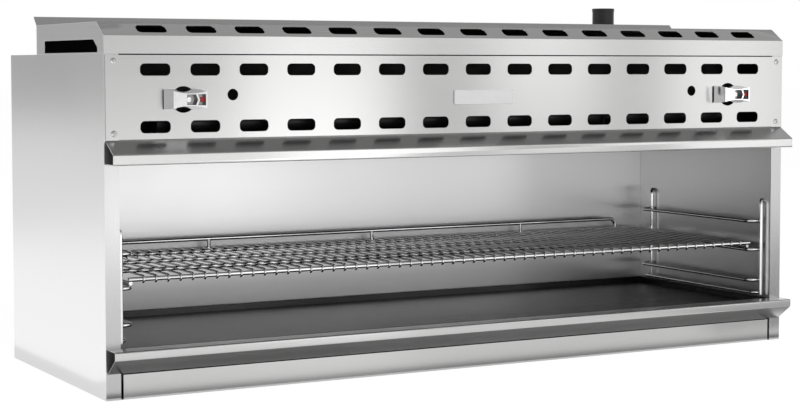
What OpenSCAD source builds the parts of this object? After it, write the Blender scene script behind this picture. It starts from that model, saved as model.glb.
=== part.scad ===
// Cheese melter: an open-fronted overhead broiler with two gas infra-red burners.
// X runs to the right, Y to the back and Z up. The origin lies on the floor, under the middle.
// Inside the modules Y is counted from the control panel's face, and place() moves it home.

/* [Cabinet] */
// Width over the side panels
body_w = 1219; // [1180:1:1400]
// Depth from the control panel's face to the rear panel's face
body_d = 441; // [435:1:520]
// Height of the side panels
body_h = 489; // [480:1:560]
// Thickness of the outer sheets
skin_t = 1.2; // [0.9:0.1:1.6]
// Thickness of the liner sheets
liner_t = 1; // [0.8:0.1:1.5]
// Thickness of a side wall, from its outer face to its liner's face
side_wall = 22; // [20:1:30]
// Depth of the compartment, from the control panel's face to the rear liner
cavity_d = 376; // [360:1:380]
// Thickness of the rear insulation
rear_wool_t = 16; // [15:1:35]
// Height of the upturned edges of the base and of the downturned edges of the deck
tray_edge = 15; // [10:1:20]
// Width of the side panels' rear flanges
rear_flange_w = 14; // [12:1:20]
// Front edge of the top deck behind the panel's face
deck_front = 20; // [15:1:22]
// Distance of the flue opening in the deck from the cabinet's sides
flue_inset = 130; // [100:1:200]
// Distance of that opening behind the heat shield
flue_gap = 21; // [15:1:40]
// Distance of that opening from the hood's back
flue_back_gap = 15; // [10:1:40]

/* [Front] */
// Height of the opening, from the pan's rim to the visor's lower edge
opening_h = 260.3; // [240:0.1:270]
// Height of the kick panel
kick_h = 36; // [30:1:45]
// Gap at each end of the kick panel
kick_gap = 3.5; // [1:0.5:5]
// Thickness of the control panel
panel_t = 1.5; // [1:0.1:2]
// Inset of the control panel and of the trims from the cabinet's sides
panel_inset = 2; // [1:0.5:5]
// Gap between the control panel and the visor
panel_gap = 1; // [0.5:0.1:2]
// Dark gap between the control panel and the hood's lip
lip_gap = 1.8; // [1:0.1:3]

/* [Visor and bullnose] */
// How far the noses of both trims stand out from the control panel
nose_proj = 30; // [26:1:40]
// Height of the visor
visor_h = 34; // [30:1:40]
// Height of the visor's upright nose
visor_nose_h = 15; // [12:1:18]
// Depth of the visor's lower leg behind the panel's face
visor_tongue = 28; // [20:1:40]
// Height of the pan's bullnose
bull_h = 35.4; // [30:0.1:45]
// Height of the bullnose's upright nose
bull_nose_h = 12; // [10:1:16]
// Height of the visor's hidden flange behind the control panel
visor_flange = 7; // [5:0.5:9]
// Gap between the kick panel and the bullnose
bull_gap = 1.6; // [1:0.1:3]
// Bend radius of the trims
bend_r = 2.5; // [2:0.5:4]

/* [Vent slots] */
// Distance from one slot to the next
slot_pitch = 76.2; // [70:0.1:90]
// Least distance from a cabinet side to the middle of a slot
slot_margin = 75; // [60:1:80]
// Length of a slot
slot_len = 45.6; // [35:0.1:55]
// Height of a slot in the control panel
slot_h = 17.5; // [14:0.1:19]
// Corner radius of a slot
slot_r = 6.8; // [5:0.1:7]
// Height of the lower row's middle above the panel's lower edge
slot_low_rise = 17; // [15:0.5:20]
// Distance of the upper row's middle below the panel's upper edge
slot_top_drop = 20.6; // [16:0.1:25]
// Height of a slot in the hood's slope
hood_slot_h = 19; // [15:0.1:22]

/* [Hood] */
// Height of the hood's upright lip
hood_lip_h = 25.4; // [20:0.1:40]
// Depth of the hood's slope
slope_run = 29.2; // [25:0.1:40]
// Rise of the hood's slope
slope_rise = 19.8; // [16:0.1:30]
// Depth of the hood, from the panel's face to the rear flange
hood_d = 305; // [290:1:330]
// Run and rise of the leaning rear flange
hood_flange = 13.5; // [10:0.5:20]
// Front of the opening in each hood end
end_open_front = 27; // [20:1:35]
// Back of the opening in each hood end
end_open_back = 267; // [200:1:275]
// Height of the opening in each hood end
end_open_h = 18.3; // [12:0.1:20]
// Height of the sheet left below that opening
end_sill = 2; // [1:0.5:4]

/* [Control panel holes] */
// Distance of each valve's axis from the cabinet's side
valve_inset = 118.5; // [112:0.5:125]
// Height of the valves' axes above the panel's lower edge
valve_rise = 55.7; // [50:0.1:60]
// Diameter of the panel's valve holes
valve_hole_d = 38; // [34:0.5:42]
// Distance of each sight hole from the cabinet's side
sight_inset = 195; // [188:0.5:200]
// Height of the sight holes above the panel's lower edge
sight_rise = 62.1; // [56:0.1:66]
// Diameter of the sight holes
sight_hole_d = 16.8; // [14:0.1:20]
// Distance of the panel's screws from the cabinet's sides
screw_inset = 13.9; // [11:0.1:16]
// Distance of the panel's screws from its upper and lower edges
screw_edge = 8.5; // [7:0.5:12]
// Shank diameter of the sheet screws
screw_d = 4.2; // [3:0.1:5]
// Head diameter of the sheet screws
screw_head_d = 9; // [7:0.5:11]
// Height of the sheet screws' heads
screw_head_h = 2; // [1.5:0.1:3]
// Length of the sheet screws' shanks
screw_len = 8; // [6:0.5:12]
// Width of the badge plate
badge_w = 106; // [80:1:130]
// Height of the badge plate
badge_h = 22; // [16:1:28]
// Thickness of the badge plate
badge_t = 2; // [1:0.5:4]
// Distance of the badge's middle to the right of the panel's middle
badge_x = 9; // [0:1:30]
// Height of the badge's middle above the panel's lower edge
badge_rise = 55.2; // [50:0.1:60]

/* [Valve levers] */
// Diameter of the valve stems
stem_d = 8; // [7:0.1:9]
// Running clearance of a stem in its valve, on the radius
stem_clear = 0.05; // [0.02:0.01:0.08]
// Length of a lever behind its axis
lever_tail = 25; // [20:0.5:28]
// Length of a lever in front of its axis
lever_tip = 26.6; // [22:0.1:30]
// Height of a lever's face at its ends
lever_h = 24.6; // [20:0.1:26]
// Height of a lever's face at its waist
lever_waist = 18; // [16:0.1:19]
// Height of a lever's back
lever_back_h = 28; // [27:0.1:30]
// How far a lever's face stands out from the control panel
lever_proj = 25.4; // [22:0.1:26]
// Gap between a lever and the control panel
lever_gap = 2.5; // [2:0.1:5]
// How far a lever's tail lies behind its face
lever_step = 5; // [3:0.1:8]
// How far a lever's tail leans out towards the panel
tail_lean = 6; // [4:0.5:8]
// Depth of a lever's pocket
pocket_depth = 7; // [5:0.5:9]

/* [Burners] */
// Middle of the burners behind the panel's face
burner_y = 193; // [190:1:200]
// Width of a ceramic tile
tile_w = 92; // [88:1:96]
// Depth of a ceramic tile
tile_d = 132; // [120:1:140]
// Thickness of a ceramic tile
tile_t = 13; // [10:0.5:15]
// Cement joint between two tiles
tile_gap = 1.5; // [1:0.5:3]
// Clearance between the tiles and the burner body
tile_clear = 1; // [0.5:0.1:1.5]
// Height of a burner body above the ceiling panel
burner_h = 46; // [40:1:50]
// Wall of a burner body
burner_wall = 1.5; // [1:0.1:2]
// Width of a burner body's foot flange
burner_flange = 12; // [10:1:14]
// Length of a burner beyond its valve's axis
burner_overhang = 35; // [30:1:38]
// Least distance from the middle of the cabinet to a burner
burner_inner = 50; // [20:1:54]
// Thickness of the screen's frame
screen_t = 3; // [2.5:0.1:4]
// Width of the ledge that the tiles and the screen rest on
screen_ledge = 6; // [4:0.5:8]
// Diameter of the screen's rods
screen_rod_d = 2; // [1.5:0.1:2.4]
// Distance from one screen rod to the next
screen_pitch = 20; // [15:0.5:30]
// Middle of the mixing tube's foot behind the panel's face
mixer_foot_y = 232; // [225:1:235]
// Inner radius of the mixing tube's outlet
mixer_r = 13; // [10:0.5:14]
// Wall of the mixing tube
mixer_wall = 3; // [2.5:0.1:3.5]

/* [Gas train] */
// Outer diameter of the gas pipes
pipe_d = 26.7; // [25:0.1:28]
// Wall of the gas pipes
pipe_wall = 2.9; // [2:0.1:3.5]
// Middle of the manifold behind the panel's face
manifold_y = 38; // [36:0.5:40]
// Height of the valves' axes above the manifold's axis
manifold_drop = 34.4; // [33:0.1:36]
// Length of the manifold beyond the valves' axes
manifold_end = 29; // [20:1:35]
// Height of the supply pipe above the valves' axes
supply_rise = 16; // [14:0.5:18]
// Distance of the inlet's axis from the right side
inlet_inset = 97.5; // [90:0.5:105]
// Distance of the inlet's axis from the rear panel's face
inlet_setback = 47; // [45:0.5:50]
// Distance from the inlet's axis to the supply pipe's axis
regulator_run = 162; // [155:1:170]
// Diameter of the regulator's spring cap
spring_cap_d = 20; // [16:1:24]
// Height of the regulator's spring cap
spring_cap_h = 12; // [8:0.5:14]
// Height of the inlet's mouth above the deck
inlet_rise = 90; // [70:1:120]
// Outer diameter of the inlet coupling
coupling_d = 41.4; // [38:0.1:45]
// Length of the inlet coupling
coupling_h = 50; // [45:1:60]
// Bore of the inlet's thread, at its crests
inlet_bore_d = 24.1; // [23:0.1:25]
// Length of the inlet's thread
inlet_thread = 20; // [15:1:22]
// Distance of the heat shield behind the panel's face
shield_y = 74; // [72:0.5:76]
// Radius of the orifice spuds
spud_r = 7; // [6:0.5:8]
// Outer diameter of the pilot tubes
pilot_tube_d = 6.35; // [5:0.01:7]
// Distance of the pilot burners behind the panel's face
pilot_y = 92; // [90:0.5:96]
// Length of the pilot burners' tips
pilot_tip_l = 18; // [12:1:24]
// How far the pilot burners hang below the ceiling
pilot_drop = 7; // [5:0.5:10]

/* [Spill pan] */
// Depth of the spill pan
pan_depth = 10; // [8:0.5:14]
// Gap between the pan and each side liner
pan_side_gap = 2.5; // [1.5:0.5:4]
// Gap between the pan and the rear liner
pan_rear_gap = 4; // [3:0.5:8]
// Front edge of the pan behind the panel's face
pan_front = 4; // [3:0.5:6]
// Clearance of every sliding piece above what carries it
slide_clear = 0.3; // [0.2:0.05:0.5]
// Width of the rails under the pan
pan_rail_w = 14; // [10:1:25]

/* [Rack guides] */
// Diameter of the guides' upright posts
post_d = 6.35; // [5:0.05:8]
// Diameter of the guides' runner wires
guide_d = 6; // [4:0.1:7]
// Distance of the post's axis from the side liner
post_inset = 6.5; // [5:0.5:9]
// Distance of the front post behind the panel's face
post_front = 18; // [15:1:25]
// Distance of the rear post from the rear liner
post_rear_gap = 45; // [35:1:60]
// Reach of the three upper runner wires from the side liner
guide_reach = 26; // [22:1:28]
// Reach of the lowest runner wire from the side liner
low_reach = 16; // [14:1:20]
// Heights of the runner wires above the pan's rim: the lowest wire
low_rise = 7.3; // [6:0.1:10]
// The lower rack level
level_1_rise = 29.6; // [25:0.1:35]
// The middle rack level, where the rack lies
level_2_rise = 82.2; // [75:0.1:90]
// The upper rack level
level_3_rise = 131.7; // [125:0.1:140]
// Height of the posts' upper hooks above the pan's rim
post_rise = 167; // [160:1:180]
// Bend radius of the runner wires
guide_bend = 13; // [10:0.5:15]

/* [Wire rack] */
// Gap between the rack's rod ends and each side liner
rack_side_gap = 22.5; // [20:0.5:23]
// Front rod of the rack behind the panel's face
rack_front = 30; // [28:1:40]
// Gap between the rear rod's axis and the rear liner
rack_rear_gap = 20; // [15:1:30]
// Diameter of the rack's cross rods
rod_d = 6.35; // [5:0.05:8]
// Diameter of the rack's wires
wire_d = 3; // [2.5:0.1:3.5]
// Distance from one wire to the next
wire_pitch = 19.05; // [15:0.05:25]
// Least distance from a rod's end to a wire
wire_margin = 22; // [15:0.5:30]
// Diameter of the runners under the rack
runner_d = 5.4; // [4.5:0.1:6]
// How deep crossing rods are welded into each other
weld_sink = 0.4; // [0.2:0.05:0.6]
// Gap between the wires and the rods that they wrap
wrap_gap = 0.05; // [0.02:0.01:0.1]
// Number of cross rods between the front and the rear rod
mid_rods = 2; // [1:1:4]
// Diameter of the guard rail
rail_d = 6.35; // [4:0.05:8]
// Height of the guard rail's axis above the rear rod's
rail_rise = 20; // [15:0.5:30]
// Distance from the rack's end to the guard rail's end
rail_inset = 50; // [40:1:100]
// Distance from the middle to the outer rail posts
rail_post_x = 305; // [250:1:350]
// Bend radius of the guard rail's ends
rail_bend = 12; // [8:0.5:15]

/* [Base] */
// Distance of the leg holes from the cabinet's sides
leg_inset_x = 50; // [40:1:70]
// Distance of the leg holes from the front and rear faces
leg_inset_y = 50; // [40:1:70]
// Diameter of the leg holes
leg_hole_d = 10.4; // [8:0.1:13]

/* [Hidden] */
$fn = 40;
eps = 0.5;
half_w = body_w / 2;
cavity_half = half_w - side_wall;
front_y = (nose_proj - body_d - screw_head_h) / 2;
// Heights, from the floor up
bull_z = kick_h + bull_gap;
pan_rim_z = bull_z + bull_h;
pan_floor_z = pan_rim_z - pan_depth;
visor_z = pan_rim_z + opening_h;
ceiling_z = visor_z + skin_t;
stack_z = ceiling_z + skin_t;
panel_z = visor_z + visor_h + panel_gap;
panel_top = body_h - lip_gap;
deck_z = body_h - skin_t;
valve_z = panel_z + valve_rise;
sight_z = panel_z + sight_rise;
manifold_z = valve_z - manifold_drop;
supply_z = valve_z + supply_rise;
inlet_z = body_h + inlet_rise;
// Places along X
valve_x = half_w - valve_inset;
sight_x = half_w - sight_inset;
inlet_x = half_w - inlet_inset;
supply_x = inlet_x - regulator_run;
inlet_y = body_d - inlet_setback;
panel_half = half_w - panel_inset;
slot_gaps = 2 * floor((half_w - slot_margin) / slot_pitch);
// Side sheets: the flange lies behind the control panel
flange_y = panel_t;
liner_y = flange_y + skin_t;
hidden_flange = 12;
// Burner sizes
tile_step = tile_w + tile_gap;
burner_room = valve_x + burner_overhang - burner_inner - 2 * (tile_clear + burner_wall);
tile_n = floor((burner_room + tile_gap) / tile_step);
tiles_l = tile_n * tile_step - tile_gap;
burner_in_l = tiles_l + 2 * tile_clear;
burner_in_d = tile_d + 2 * tile_clear;
burner_l = burner_in_l + 2 * burner_wall;
burner_d = burner_in_d + 2 * burner_wall;
burner_x = valve_x + burner_overhang - burner_l / 2;
window_l = tiles_l - 2 * screen_ledge;
window_d = tile_d - 2 * screen_ledge;
screen_clear = 0.5;
plenum_top = stack_z + burner_h;
screen_gaps = floor(window_l / screen_pitch);
// Valve and mixing tube
valve_r = 13;
valve_front = 12;
valve_back = 50;
shutter_y = shield_y + 16;
shutter_t = 1.5;
shutter_r = 20;
mixer_y = shutter_y + shutter_t;
mixer_throat_r = 9.5;
mixer_bend = 24;
mixer_out_r = mixer_r + mixer_wall;
mixer_straight = mixer_foot_y - mixer_bend;
foot_r = mixer_out_r + 6;
foot_t = 4;
// Pipe fittings
pipe_r = pipe_d / 2;
collar_r = pipe_r + 5.5;
elbow_bend = 20;
elbow_reach = 34;
elbow_seat = 21;
reg_half = 38;
reg_port = 8;
reg_r = 36;
cap_l = 14;
saddle_t = 3;
bracket_x = 250;
pilot_r = 5;
pilot_bend = 12;
// Rack and guide heights
low_z = pan_rim_z + low_rise;
level_1_z = pan_rim_z + level_1_rise;
level_2_z = pan_rim_z + level_2_rise;
level_3_z = pan_rim_z + level_3_rise;
post_z0 = low_z - guide_d / 2;
post_z1 = pan_rim_z + post_rise;
post_rear = cavity_d - post_rear_gap;
runner_z = level_2_z + (guide_d + runner_d) / 2 + slide_clear;
rod_z = runner_z + (runner_d + rod_d) / 2 - weld_sink;
wire_z = rod_z + (rod_d + wire_d) / 2 + wrap_gap;
rack_half = cavity_half - rack_side_gap;
rack_rear = cavity_d - rack_rear_gap;
runner_x = cavity_half - guide_reach;
rail_half = rack_half - rail_inset;
wire_gaps = floor((2 * rack_half - 2 * wire_margin) / wire_pitch);
wrap_r = (rod_d + wire_d) / 2 + wrap_gap;
hook_r = post_inset * sqrt(2) - 2;
// Pan
pan_half = cavity_half - pan_side_gap;
pan_back = cavity_d - pan_rear_gap;
rail_top = pan_floor_z - skin_t - slide_clear;

steel = [0.78, 0.79, 0.8];
bright = [0.88, 0.88, 0.9];
dark_steel = [0.3, 0.3, 0.31];
brass = [0.78, 0.62, 0.32];
iron = [0.12, 0.12, 0.12];
wool = [0.85, 0.82, 0.72];
ceramic = [0.9, 0.87, 0.8];

// ---- Helpers ----

module place() translate([0, front_y, 0]) children();

module box(x0, x1, y0, y1, z0, z1) translate([x0, y0, z0]) cube([x1 - x0, y1 - y0, z1 - z0]);

module rod_x(x0, x1, y, z, d) translate([x0, y, z]) rotate([0, 90, 0]) cylinder(d = d, h = x1 - x0);

module rod_y(x, y0, y1, z, d) translate([x, y0, z]) rotate([-90, 0, 0]) cylinder(d = d, h = y1 - y0);

module rod_z(x, y, z0, z1, d) translate([x, y, z0]) cylinder(d = d, h = z1 - z0);

// Extrudes a YZ outline along X, an XZ outline along Y
module along_x(x0, x1)
    translate([x0, 0, 0]) rotate([90, 0, 90]) linear_extrude(height = x1 - x0) children();

module along_y(y0, y1)
    translate([0, y1, 0]) rotate([90, 0, 0]) linear_extrude(height = y1 - y0) children();

// A quarter of a ring in the XY plane, from the angle start on
module quarter(x, y, z, r, d, start)
    translate([x, y, z]) rotate([0, 0, start]) rotate_extrude(angle = 90) translate([r, 0]) circle(d = d);

module both_sides() {
    children();
    mirror([1, 0, 0]) children();
}

// Sheet profiles: a path with rounded bends, and the same path moved sideways by the sheet's thickness
bend_steps = 4;
function unit(v) = v / norm(v);
function side_of(a, b) = let (d = unit(b - a)) [-d[1], d[0]];
function slice(path, first) = [for (i = [first:len(path) - 1]) path[i]];
function reversed(path) = [for (i = [len(path) - 1:-1:0]) path[i]];
function corner_arc(a, b, c, r) =
    let (u = unit(a - b), v = unit(c - b), half = acos(u * v) / 2,
         mid = b + unit(u + v) * r / sin(half),
         p = b + u * r / tan(half) - mid, q = b + v * r / tan(half) - mid,
         first = atan2(p[1], p[0]), turn = (atan2(q[1], q[0]) - first + 540) % 360 - 180)
    [for (i = [0:bend_steps]) let (w = first + turn * i / bend_steps) mid + r * [cos(w), sin(w)]];
function rounded(path, r) = concat(
    [path[0]],
    [for (i = [1:len(path) - 2]) for (p = corner_arc(path[i - 1], path[i], path[i + 1], r)) p],
    [path[len(path) - 1]]);
// An end is cut upright, or level where the path runs upright there
function end_shift(n, t) = abs(n[1]) > abs(n[0]) ? [0, t / n[1]] : [t / n[0], 0];
function shifted(path, t) = let (last = len(path) - 1) [for (i = [0:last])
    let (a = side_of(path[max(i - 1, 0)], path[max(i, 1)]),
         b = side_of(path[min(i, last - 1)], path[min(i + 1, last)]), m = unit(a + b))
    path[i] + (i == 0 || i == last ? end_shift(a, t) : m * t / (m * a))];
function sheet(path, t) = concat(path, reversed(shifted(path, t)));

module slot_outline(length, height, r) {
    square([length - 2 * r, height], center = true);
    square([length, height - 2 * r], center = true);
    for (sx = [-1, 1], sz = [-1, 1])
        translate([sx * (length / 2 - r), sz * (height / 2 - r)]) circle(r = r);
}

// ---- Cabinet ----

rear_screw_x = half_w - skin_t - rear_flange_w / 2;
rear_screw_zs = [40, body_h / 2, body_h - 40];
panel_screw_x = half_w - screw_inset;
panel_screw_zs = [panel_z + screw_edge, panel_top - screw_edge];
hole_clear = 0.1;

module screw_holes(x, zs, y0, y1)
    for (z = zs) rod_y(x, y0 - eps, y1 + eps, z, screw_d + hole_clear);

// The plate of the base and of the deck, which steps in between the side panels' rear flanges
module stepped_plate(y0, z0) {
    box(skin_t - half_w, half_w - skin_t, y0, body_d - 2 * skin_t, z0, z0 + skin_t);
    box(rear_flange_w + skin_t + eps - half_w, half_w - skin_t - rear_flange_w - eps,
        y0, body_d - skin_t, z0, z0 + skin_t);
}

module base_pan() color(steel) place() difference() {
    union() {
        stepped_plate(liner_y, 0);
        both_sides() box(half_w - 2 * skin_t, half_w - skin_t, liner_y, body_d - 2 * skin_t, 0, tray_edge);
        box(rear_flange_w + skin_t + eps - half_w, half_w - skin_t - rear_flange_w - eps,
            body_d - 2 * skin_t, body_d - skin_t, 0, tray_edge);
    }
    both_sides() for (y = [leg_inset_y, body_d - leg_inset_y])
        rod_z(half_w - leg_inset_x, y, -eps, skin_t + eps, leg_hole_d);
}

module side_panel() color(steel) place() difference() {
    union() {
        box(half_w - skin_t, half_w, flange_y, body_d, 0, body_h);
        box(half_w - side_wall, half_w, flange_y, flange_y + skin_t, 0, body_h);
        box(half_w - skin_t - rear_flange_w, half_w, body_d - 2 * skin_t, body_d - skin_t, 0, body_h);
    }
    screw_holes(panel_screw_x, panel_screw_zs, flange_y, liner_y);
    screw_holes(rear_screw_x, rear_screw_zs, body_d - 2 * skin_t, body_d - skin_t);
}

module left_side_panel() mirror([1, 0, 0]) side_panel();

module right_side_panel() side_panel();

module rear_panel() color(steel) place() difference() {
    box(skin_t - half_w, half_w - skin_t, body_d - skin_t, body_d, 0, body_h);
    both_sides() screw_holes(rear_screw_x, rear_screw_zs, body_d - skin_t, body_d);
}

flue_half = half_w - flue_inset;
flue_y0 = shield_y + flue_gap;
flue_y1 = hood_d - flue_back_gap;

// The deck is welded up from a front rail, a rear plate and a bridge at each end
module top_deck() color(steel) place() {
    box(skin_t - half_w, half_w - skin_t, deck_front, flue_y0, deck_z, body_h);
    difference() {
        stepped_plate(flue_y1, deck_z);
        rod_z(inlet_x, inlet_y, deck_z - eps, body_h + eps, pipe_d + 1);
    }
    both_sides() {
        box(flue_half, half_w - skin_t, flue_y0, flue_y1, deck_z, body_h);
        box(half_w - 2 * skin_t, half_w - skin_t, flue_y0, flue_y1, body_h - tray_edge, deck_z);
    }
}

// The guide's post with its hook, for the side liner's hole (grown by extra) and the guide itself
module post(y, d) translate([cavity_half - post_inset, y, 0]) rotate([0, 0, 45]) {
    rod_z(0, 0, post_z0, post_z1 - hook_r, d);
    translate([hook_r, 0, post_z1 - hook_r]) rotate([90, 0, 0]) quarter(0, 0, 0, hook_r, d, 90);
    rod_x(hook_r, post_inset * sqrt(2) + 2 * liner_t + post_d, 0, post_z1, d);
}

module side_liner() color(steel) place() difference() {
    union() {
        box(cavity_half, cavity_half + liner_t, liner_y, cavity_d + liner_t, skin_t, ceiling_z);
        box(cavity_half, half_w - skin_t, liner_y, cavity_d + liner_t, ceiling_z - liner_t, ceiling_z);
    }
    for (y = [post_front, post_rear]) post(y, post_d + 4 * hole_clear);
}

module left_liner() mirror([1, 0, 0]) side_liner();

module right_liner() side_liner();

module rear_liner() color(steel) place()
    box(-cavity_half, cavity_half, cavity_d, cavity_d + liner_t, skin_t, ceiling_z);

module burner_screw_places() both_sides()
    for (sx = [-1, 1], sy = [-1, 1])
        translate([burner_x + sx * (burner_l / 2 - 2 * burner_flange),
                   burner_y + sy * (burner_d / 2 + burner_flange / 2 + 0.5), 0]) children();

module ceiling_panel() color(steel) place() difference() {
    box(skin_t - half_w, half_w - skin_t, liner_y, cavity_d + liner_t, ceiling_z, stack_z);
    both_sides() {
        box(burner_x - window_l / 2, burner_x + window_l / 2, burner_y - window_d / 2,
            burner_y + window_d / 2, ceiling_z - eps, stack_z + eps);
        rod_z(sight_x, pilot_y, ceiling_z - eps, stack_z + eps, pilot_tube_d + 2 * hole_clear);
    }
    burner_screw_places() rod_z(0, 0, ceiling_z - eps, stack_z + eps, screw_d + hole_clear);
}

module side_insulation() color(wool) place() both_sides()
    box(cavity_half + liner_t, half_w - skin_t, liner_y, cavity_d + liner_t,
        tray_edge, ceiling_z - liner_t);

module rear_insulation() color(wool) place()
    box(-cavity_half, cavity_half, cavity_d + liner_t, cavity_d + liner_t + rear_wool_t,
        tray_edge, ceiling_z);

// ---- Front ----

kick_half = cavity_half - kick_gap;

module kick_panel() color(steel) place() {
    box(-kick_half, kick_half, flange_y, liner_y, 0, kick_h);
    box(-kick_half, kick_half, flange_y, liner_y + hidden_flange, kick_h - skin_t, kick_h);
}

module control_panel() color(bright) place() difference() {
    box(-panel_half, panel_half, 0, panel_t, panel_z, panel_top);
    for (i = [0:slot_gaps], z = [panel_z + slot_low_rise, panel_top - slot_top_drop])
        translate([(i - slot_gaps / 2) * slot_pitch, 0, z])
            along_y(-eps, panel_t + eps) slot_outline(slot_len, slot_h, slot_r);
    both_sides() {
        rod_y(valve_x, -eps, panel_t + eps, valve_z, valve_hole_d);
        rod_y(sight_x, -eps, panel_t + eps, sight_z, sight_hole_d);
        screw_holes(panel_screw_x, panel_screw_zs, 0, panel_t);
    }
}

visor_y = flange_y + hole_clear;
visor_face = [[visor_y, visor_z + visor_h], [-nose_proj, visor_z + visor_nose_h], [-nose_proj, visor_z]];
visor_ends = rounded(concat([[flange_y, visor_z + visor_h]], slice(visor_face, 1), [[flange_y, visor_z]]),
                     bend_r);
visor_mid = rounded(concat([[visor_y, visor_z + visor_h + visor_flange]], visor_face,
                           [[visor_tongue, visor_z]]), bend_r);

module upper_visor() color(bright) place() {
    along_x(-cavity_half, cavity_half) polygon(sheet(visor_mid, skin_t));
    both_sides() along_x(cavity_half, panel_half) polygon(sheet(visor_ends, skin_t));
}

module badge_plate() color([0.93, 0.93, 0.93]) place()
    translate([badge_x, 0, panel_z + badge_rise])
        along_y(-badge_t, 0) slot_outline(badge_w, badge_h, badge_t);

// A round-headed screw that points along +Y, its head's seat at the origin
module sheet_screw(length) difference() {
    rotate([-90, 0, 0]) rotate_extrude() polygon(concat(
        [[0, length], [screw_d / 2, length], [screw_d / 2, 0]],
        [for (w = [0:15:90]) [screw_head_d / 2 * cos(w), -screw_head_h * sin(w)]]));
    for (w = [0, 90]) rotate([0, w, 0])
        translate([-screw_head_d / 4, -screw_head_h - eps, -screw_d / 8])
            cube([screw_head_d / 2, screw_head_h / 2 + eps, screw_d / 4]);
}

module sheet_screws() color(bright) place() {
    both_sides() {
        for (z = panel_screw_zs) translate([panel_screw_x, 0, z]) sheet_screw(screw_len);
        for (z = rear_screw_zs)
            translate([rear_screw_x, body_d, z]) rotate([0, 0, 180]) sheet_screw(screw_len);
    }
    burner_screw_places() translate([0, 0, stack_z + burner_wall]) rotate([-90, 0, 0])
        sheet_screw(burner_wall + 2 * skin_t);
}

// ---- Hood ----

slope_angle = atan2(slope_rise, slope_run);
slope_z = body_h + hood_lip_h;
hood_z = slope_z + slope_rise;
hood_path = [[0, body_h], [0, slope_z], [slope_run, hood_z], [hood_d, hood_z],
             [hood_d + hood_flange, hood_z + hood_flange]];
hood_under = shifted(hood_path, -skin_t);
hood_back = hood_under[3][0];

module hood_cover() color(steel) place() difference() {
    union() {
        along_x(-half_w, half_w) polygon(sheet(hood_path, -skin_t));
        box(skin_t - half_w, half_w - skin_t, hood_back - skin_t, hood_back, body_h, hood_z - skin_t);
    }
    for (i = [0:slot_gaps])
        translate([(i - slot_gaps / 2) * slot_pitch, slope_run / 2, slope_z + slope_rise / 2])
            rotate([slope_angle, 0, 0]) translate([0, 0, -4 * skin_t])
                linear_extrude(height = 8 * skin_t) slot_outline(slot_len, hood_slot_h, slot_r);
}

knee_z = body_h + end_sill + 6.6;
open_top = body_h + end_sill + end_open_h;

module hood_end() color(steel) place() along_x(half_w - skin_t, half_w) difference() {
    polygon([hood_under[0], hood_under[1], hood_under[2], hood_under[3], [hood_back, body_h]]);
    polygon([[end_open_front, body_h + end_sill], [end_open_front, knee_z],
             [end_open_front + (open_top - knee_z) / tan(slope_angle), open_top],
             [end_open_back, open_top], [end_open_back, body_h + end_sill]]);
}

module left_hood_end() mirror([1, 0, 0]) hood_end();

module right_hood_end() hood_end();

// ---- Burners ----

shield_half = half_w - 2 * skin_t - hole_clear;

module heat_shield() color(steel) place() difference() {
    union() {
        box(-shield_half, shield_half, shield_y, shield_y + skin_t, stack_z, deck_z);
        box(-shield_half, shield_half, shield_y, shield_y + hidden_flange, stack_z, stack_z + skin_t);
    }
    both_sides() {
        rod_y(valve_x, shield_y - eps, shield_y + skin_t + eps, valve_z, 2 * spud_r + 1);
        rod_y(sight_x, shield_y - eps, shield_y + skin_t + eps, sight_z, pilot_tube_d + 1);
    }
    rod_y(supply_x, shield_y - eps, shield_y + skin_t + eps, supply_z, pipe_d + 1);
}

// A block centred on the right burner
module burner_block(l, d, z0, z1)
    box(burner_x - l / 2, burner_x + l / 2, burner_y - d / 2, burner_y + d / 2, z0, z1);

tile_top = stack_z + screen_t + tile_t;

module burner_body() color(iron) place() difference() {
    union() {
        burner_block(burner_l + 2 * burner_flange, burner_d + 2 * burner_flange,
                     stack_z, stack_z + burner_wall);
        burner_block(burner_l, burner_d, stack_z, tile_top + burner_wall);
        burner_block(window_l + 2 * burner_wall, window_d + 2 * burner_wall, stack_z, plenum_top);
    }
    burner_block(burner_in_l, burner_in_d, stack_z - eps, tile_top);
    burner_block(window_l, window_d, stack_z, plenum_top - burner_wall);
    rod_z(valve_x, mixer_foot_y, plenum_top - 2 * burner_wall, plenum_top + eps, 2 * mixer_r);
    for (sx = [-1, 1], sy = [-1, 1])
        rod_z(burner_x + sx * (burner_l / 2 - 2 * burner_flange),
              burner_y + sy * (burner_d / 2 + burner_flange / 2 + 0.5),
              stack_z - eps, stack_z + burner_wall + eps, screw_d + hole_clear);
}

module left_burner_body() mirror([1, 0, 0]) burner_body();

module right_burner_body() burner_body();

module burner_tiles() color(ceramic) place() for (i = [0:tile_n - 1])
    translate([burner_x - tiles_l / 2 + i * tile_step, burner_y - tile_d / 2, stack_z + screen_t])
        cube([tile_w, tile_d, tile_t]);

module left_burner_tiles() mirror([1, 0, 0]) burner_tiles();

module right_burner_tiles() burner_tiles();

module burner_screen() color(dark_steel) place() {
    difference() {
        burner_block(burner_in_l - screen_clear, burner_in_d - screen_clear, stack_z, stack_z + screen_t);
        burner_block(window_l, window_d, stack_z - eps, stack_z + screen_t + eps);
    }
    for (i = [1:screen_gaps - 1])
        rod_y(burner_x - window_l / 2 + i * window_l / screen_gaps, burner_y - window_d / 2 - 1,
              burner_y + window_d / 2 + 1, stack_z + screen_t / 2, screen_rod_d);
}

module left_burner_screen() mirror([1, 0, 0]) burner_screen();

module right_burner_screen() burner_screen();

throat_y = mixer_y + 34;

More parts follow.
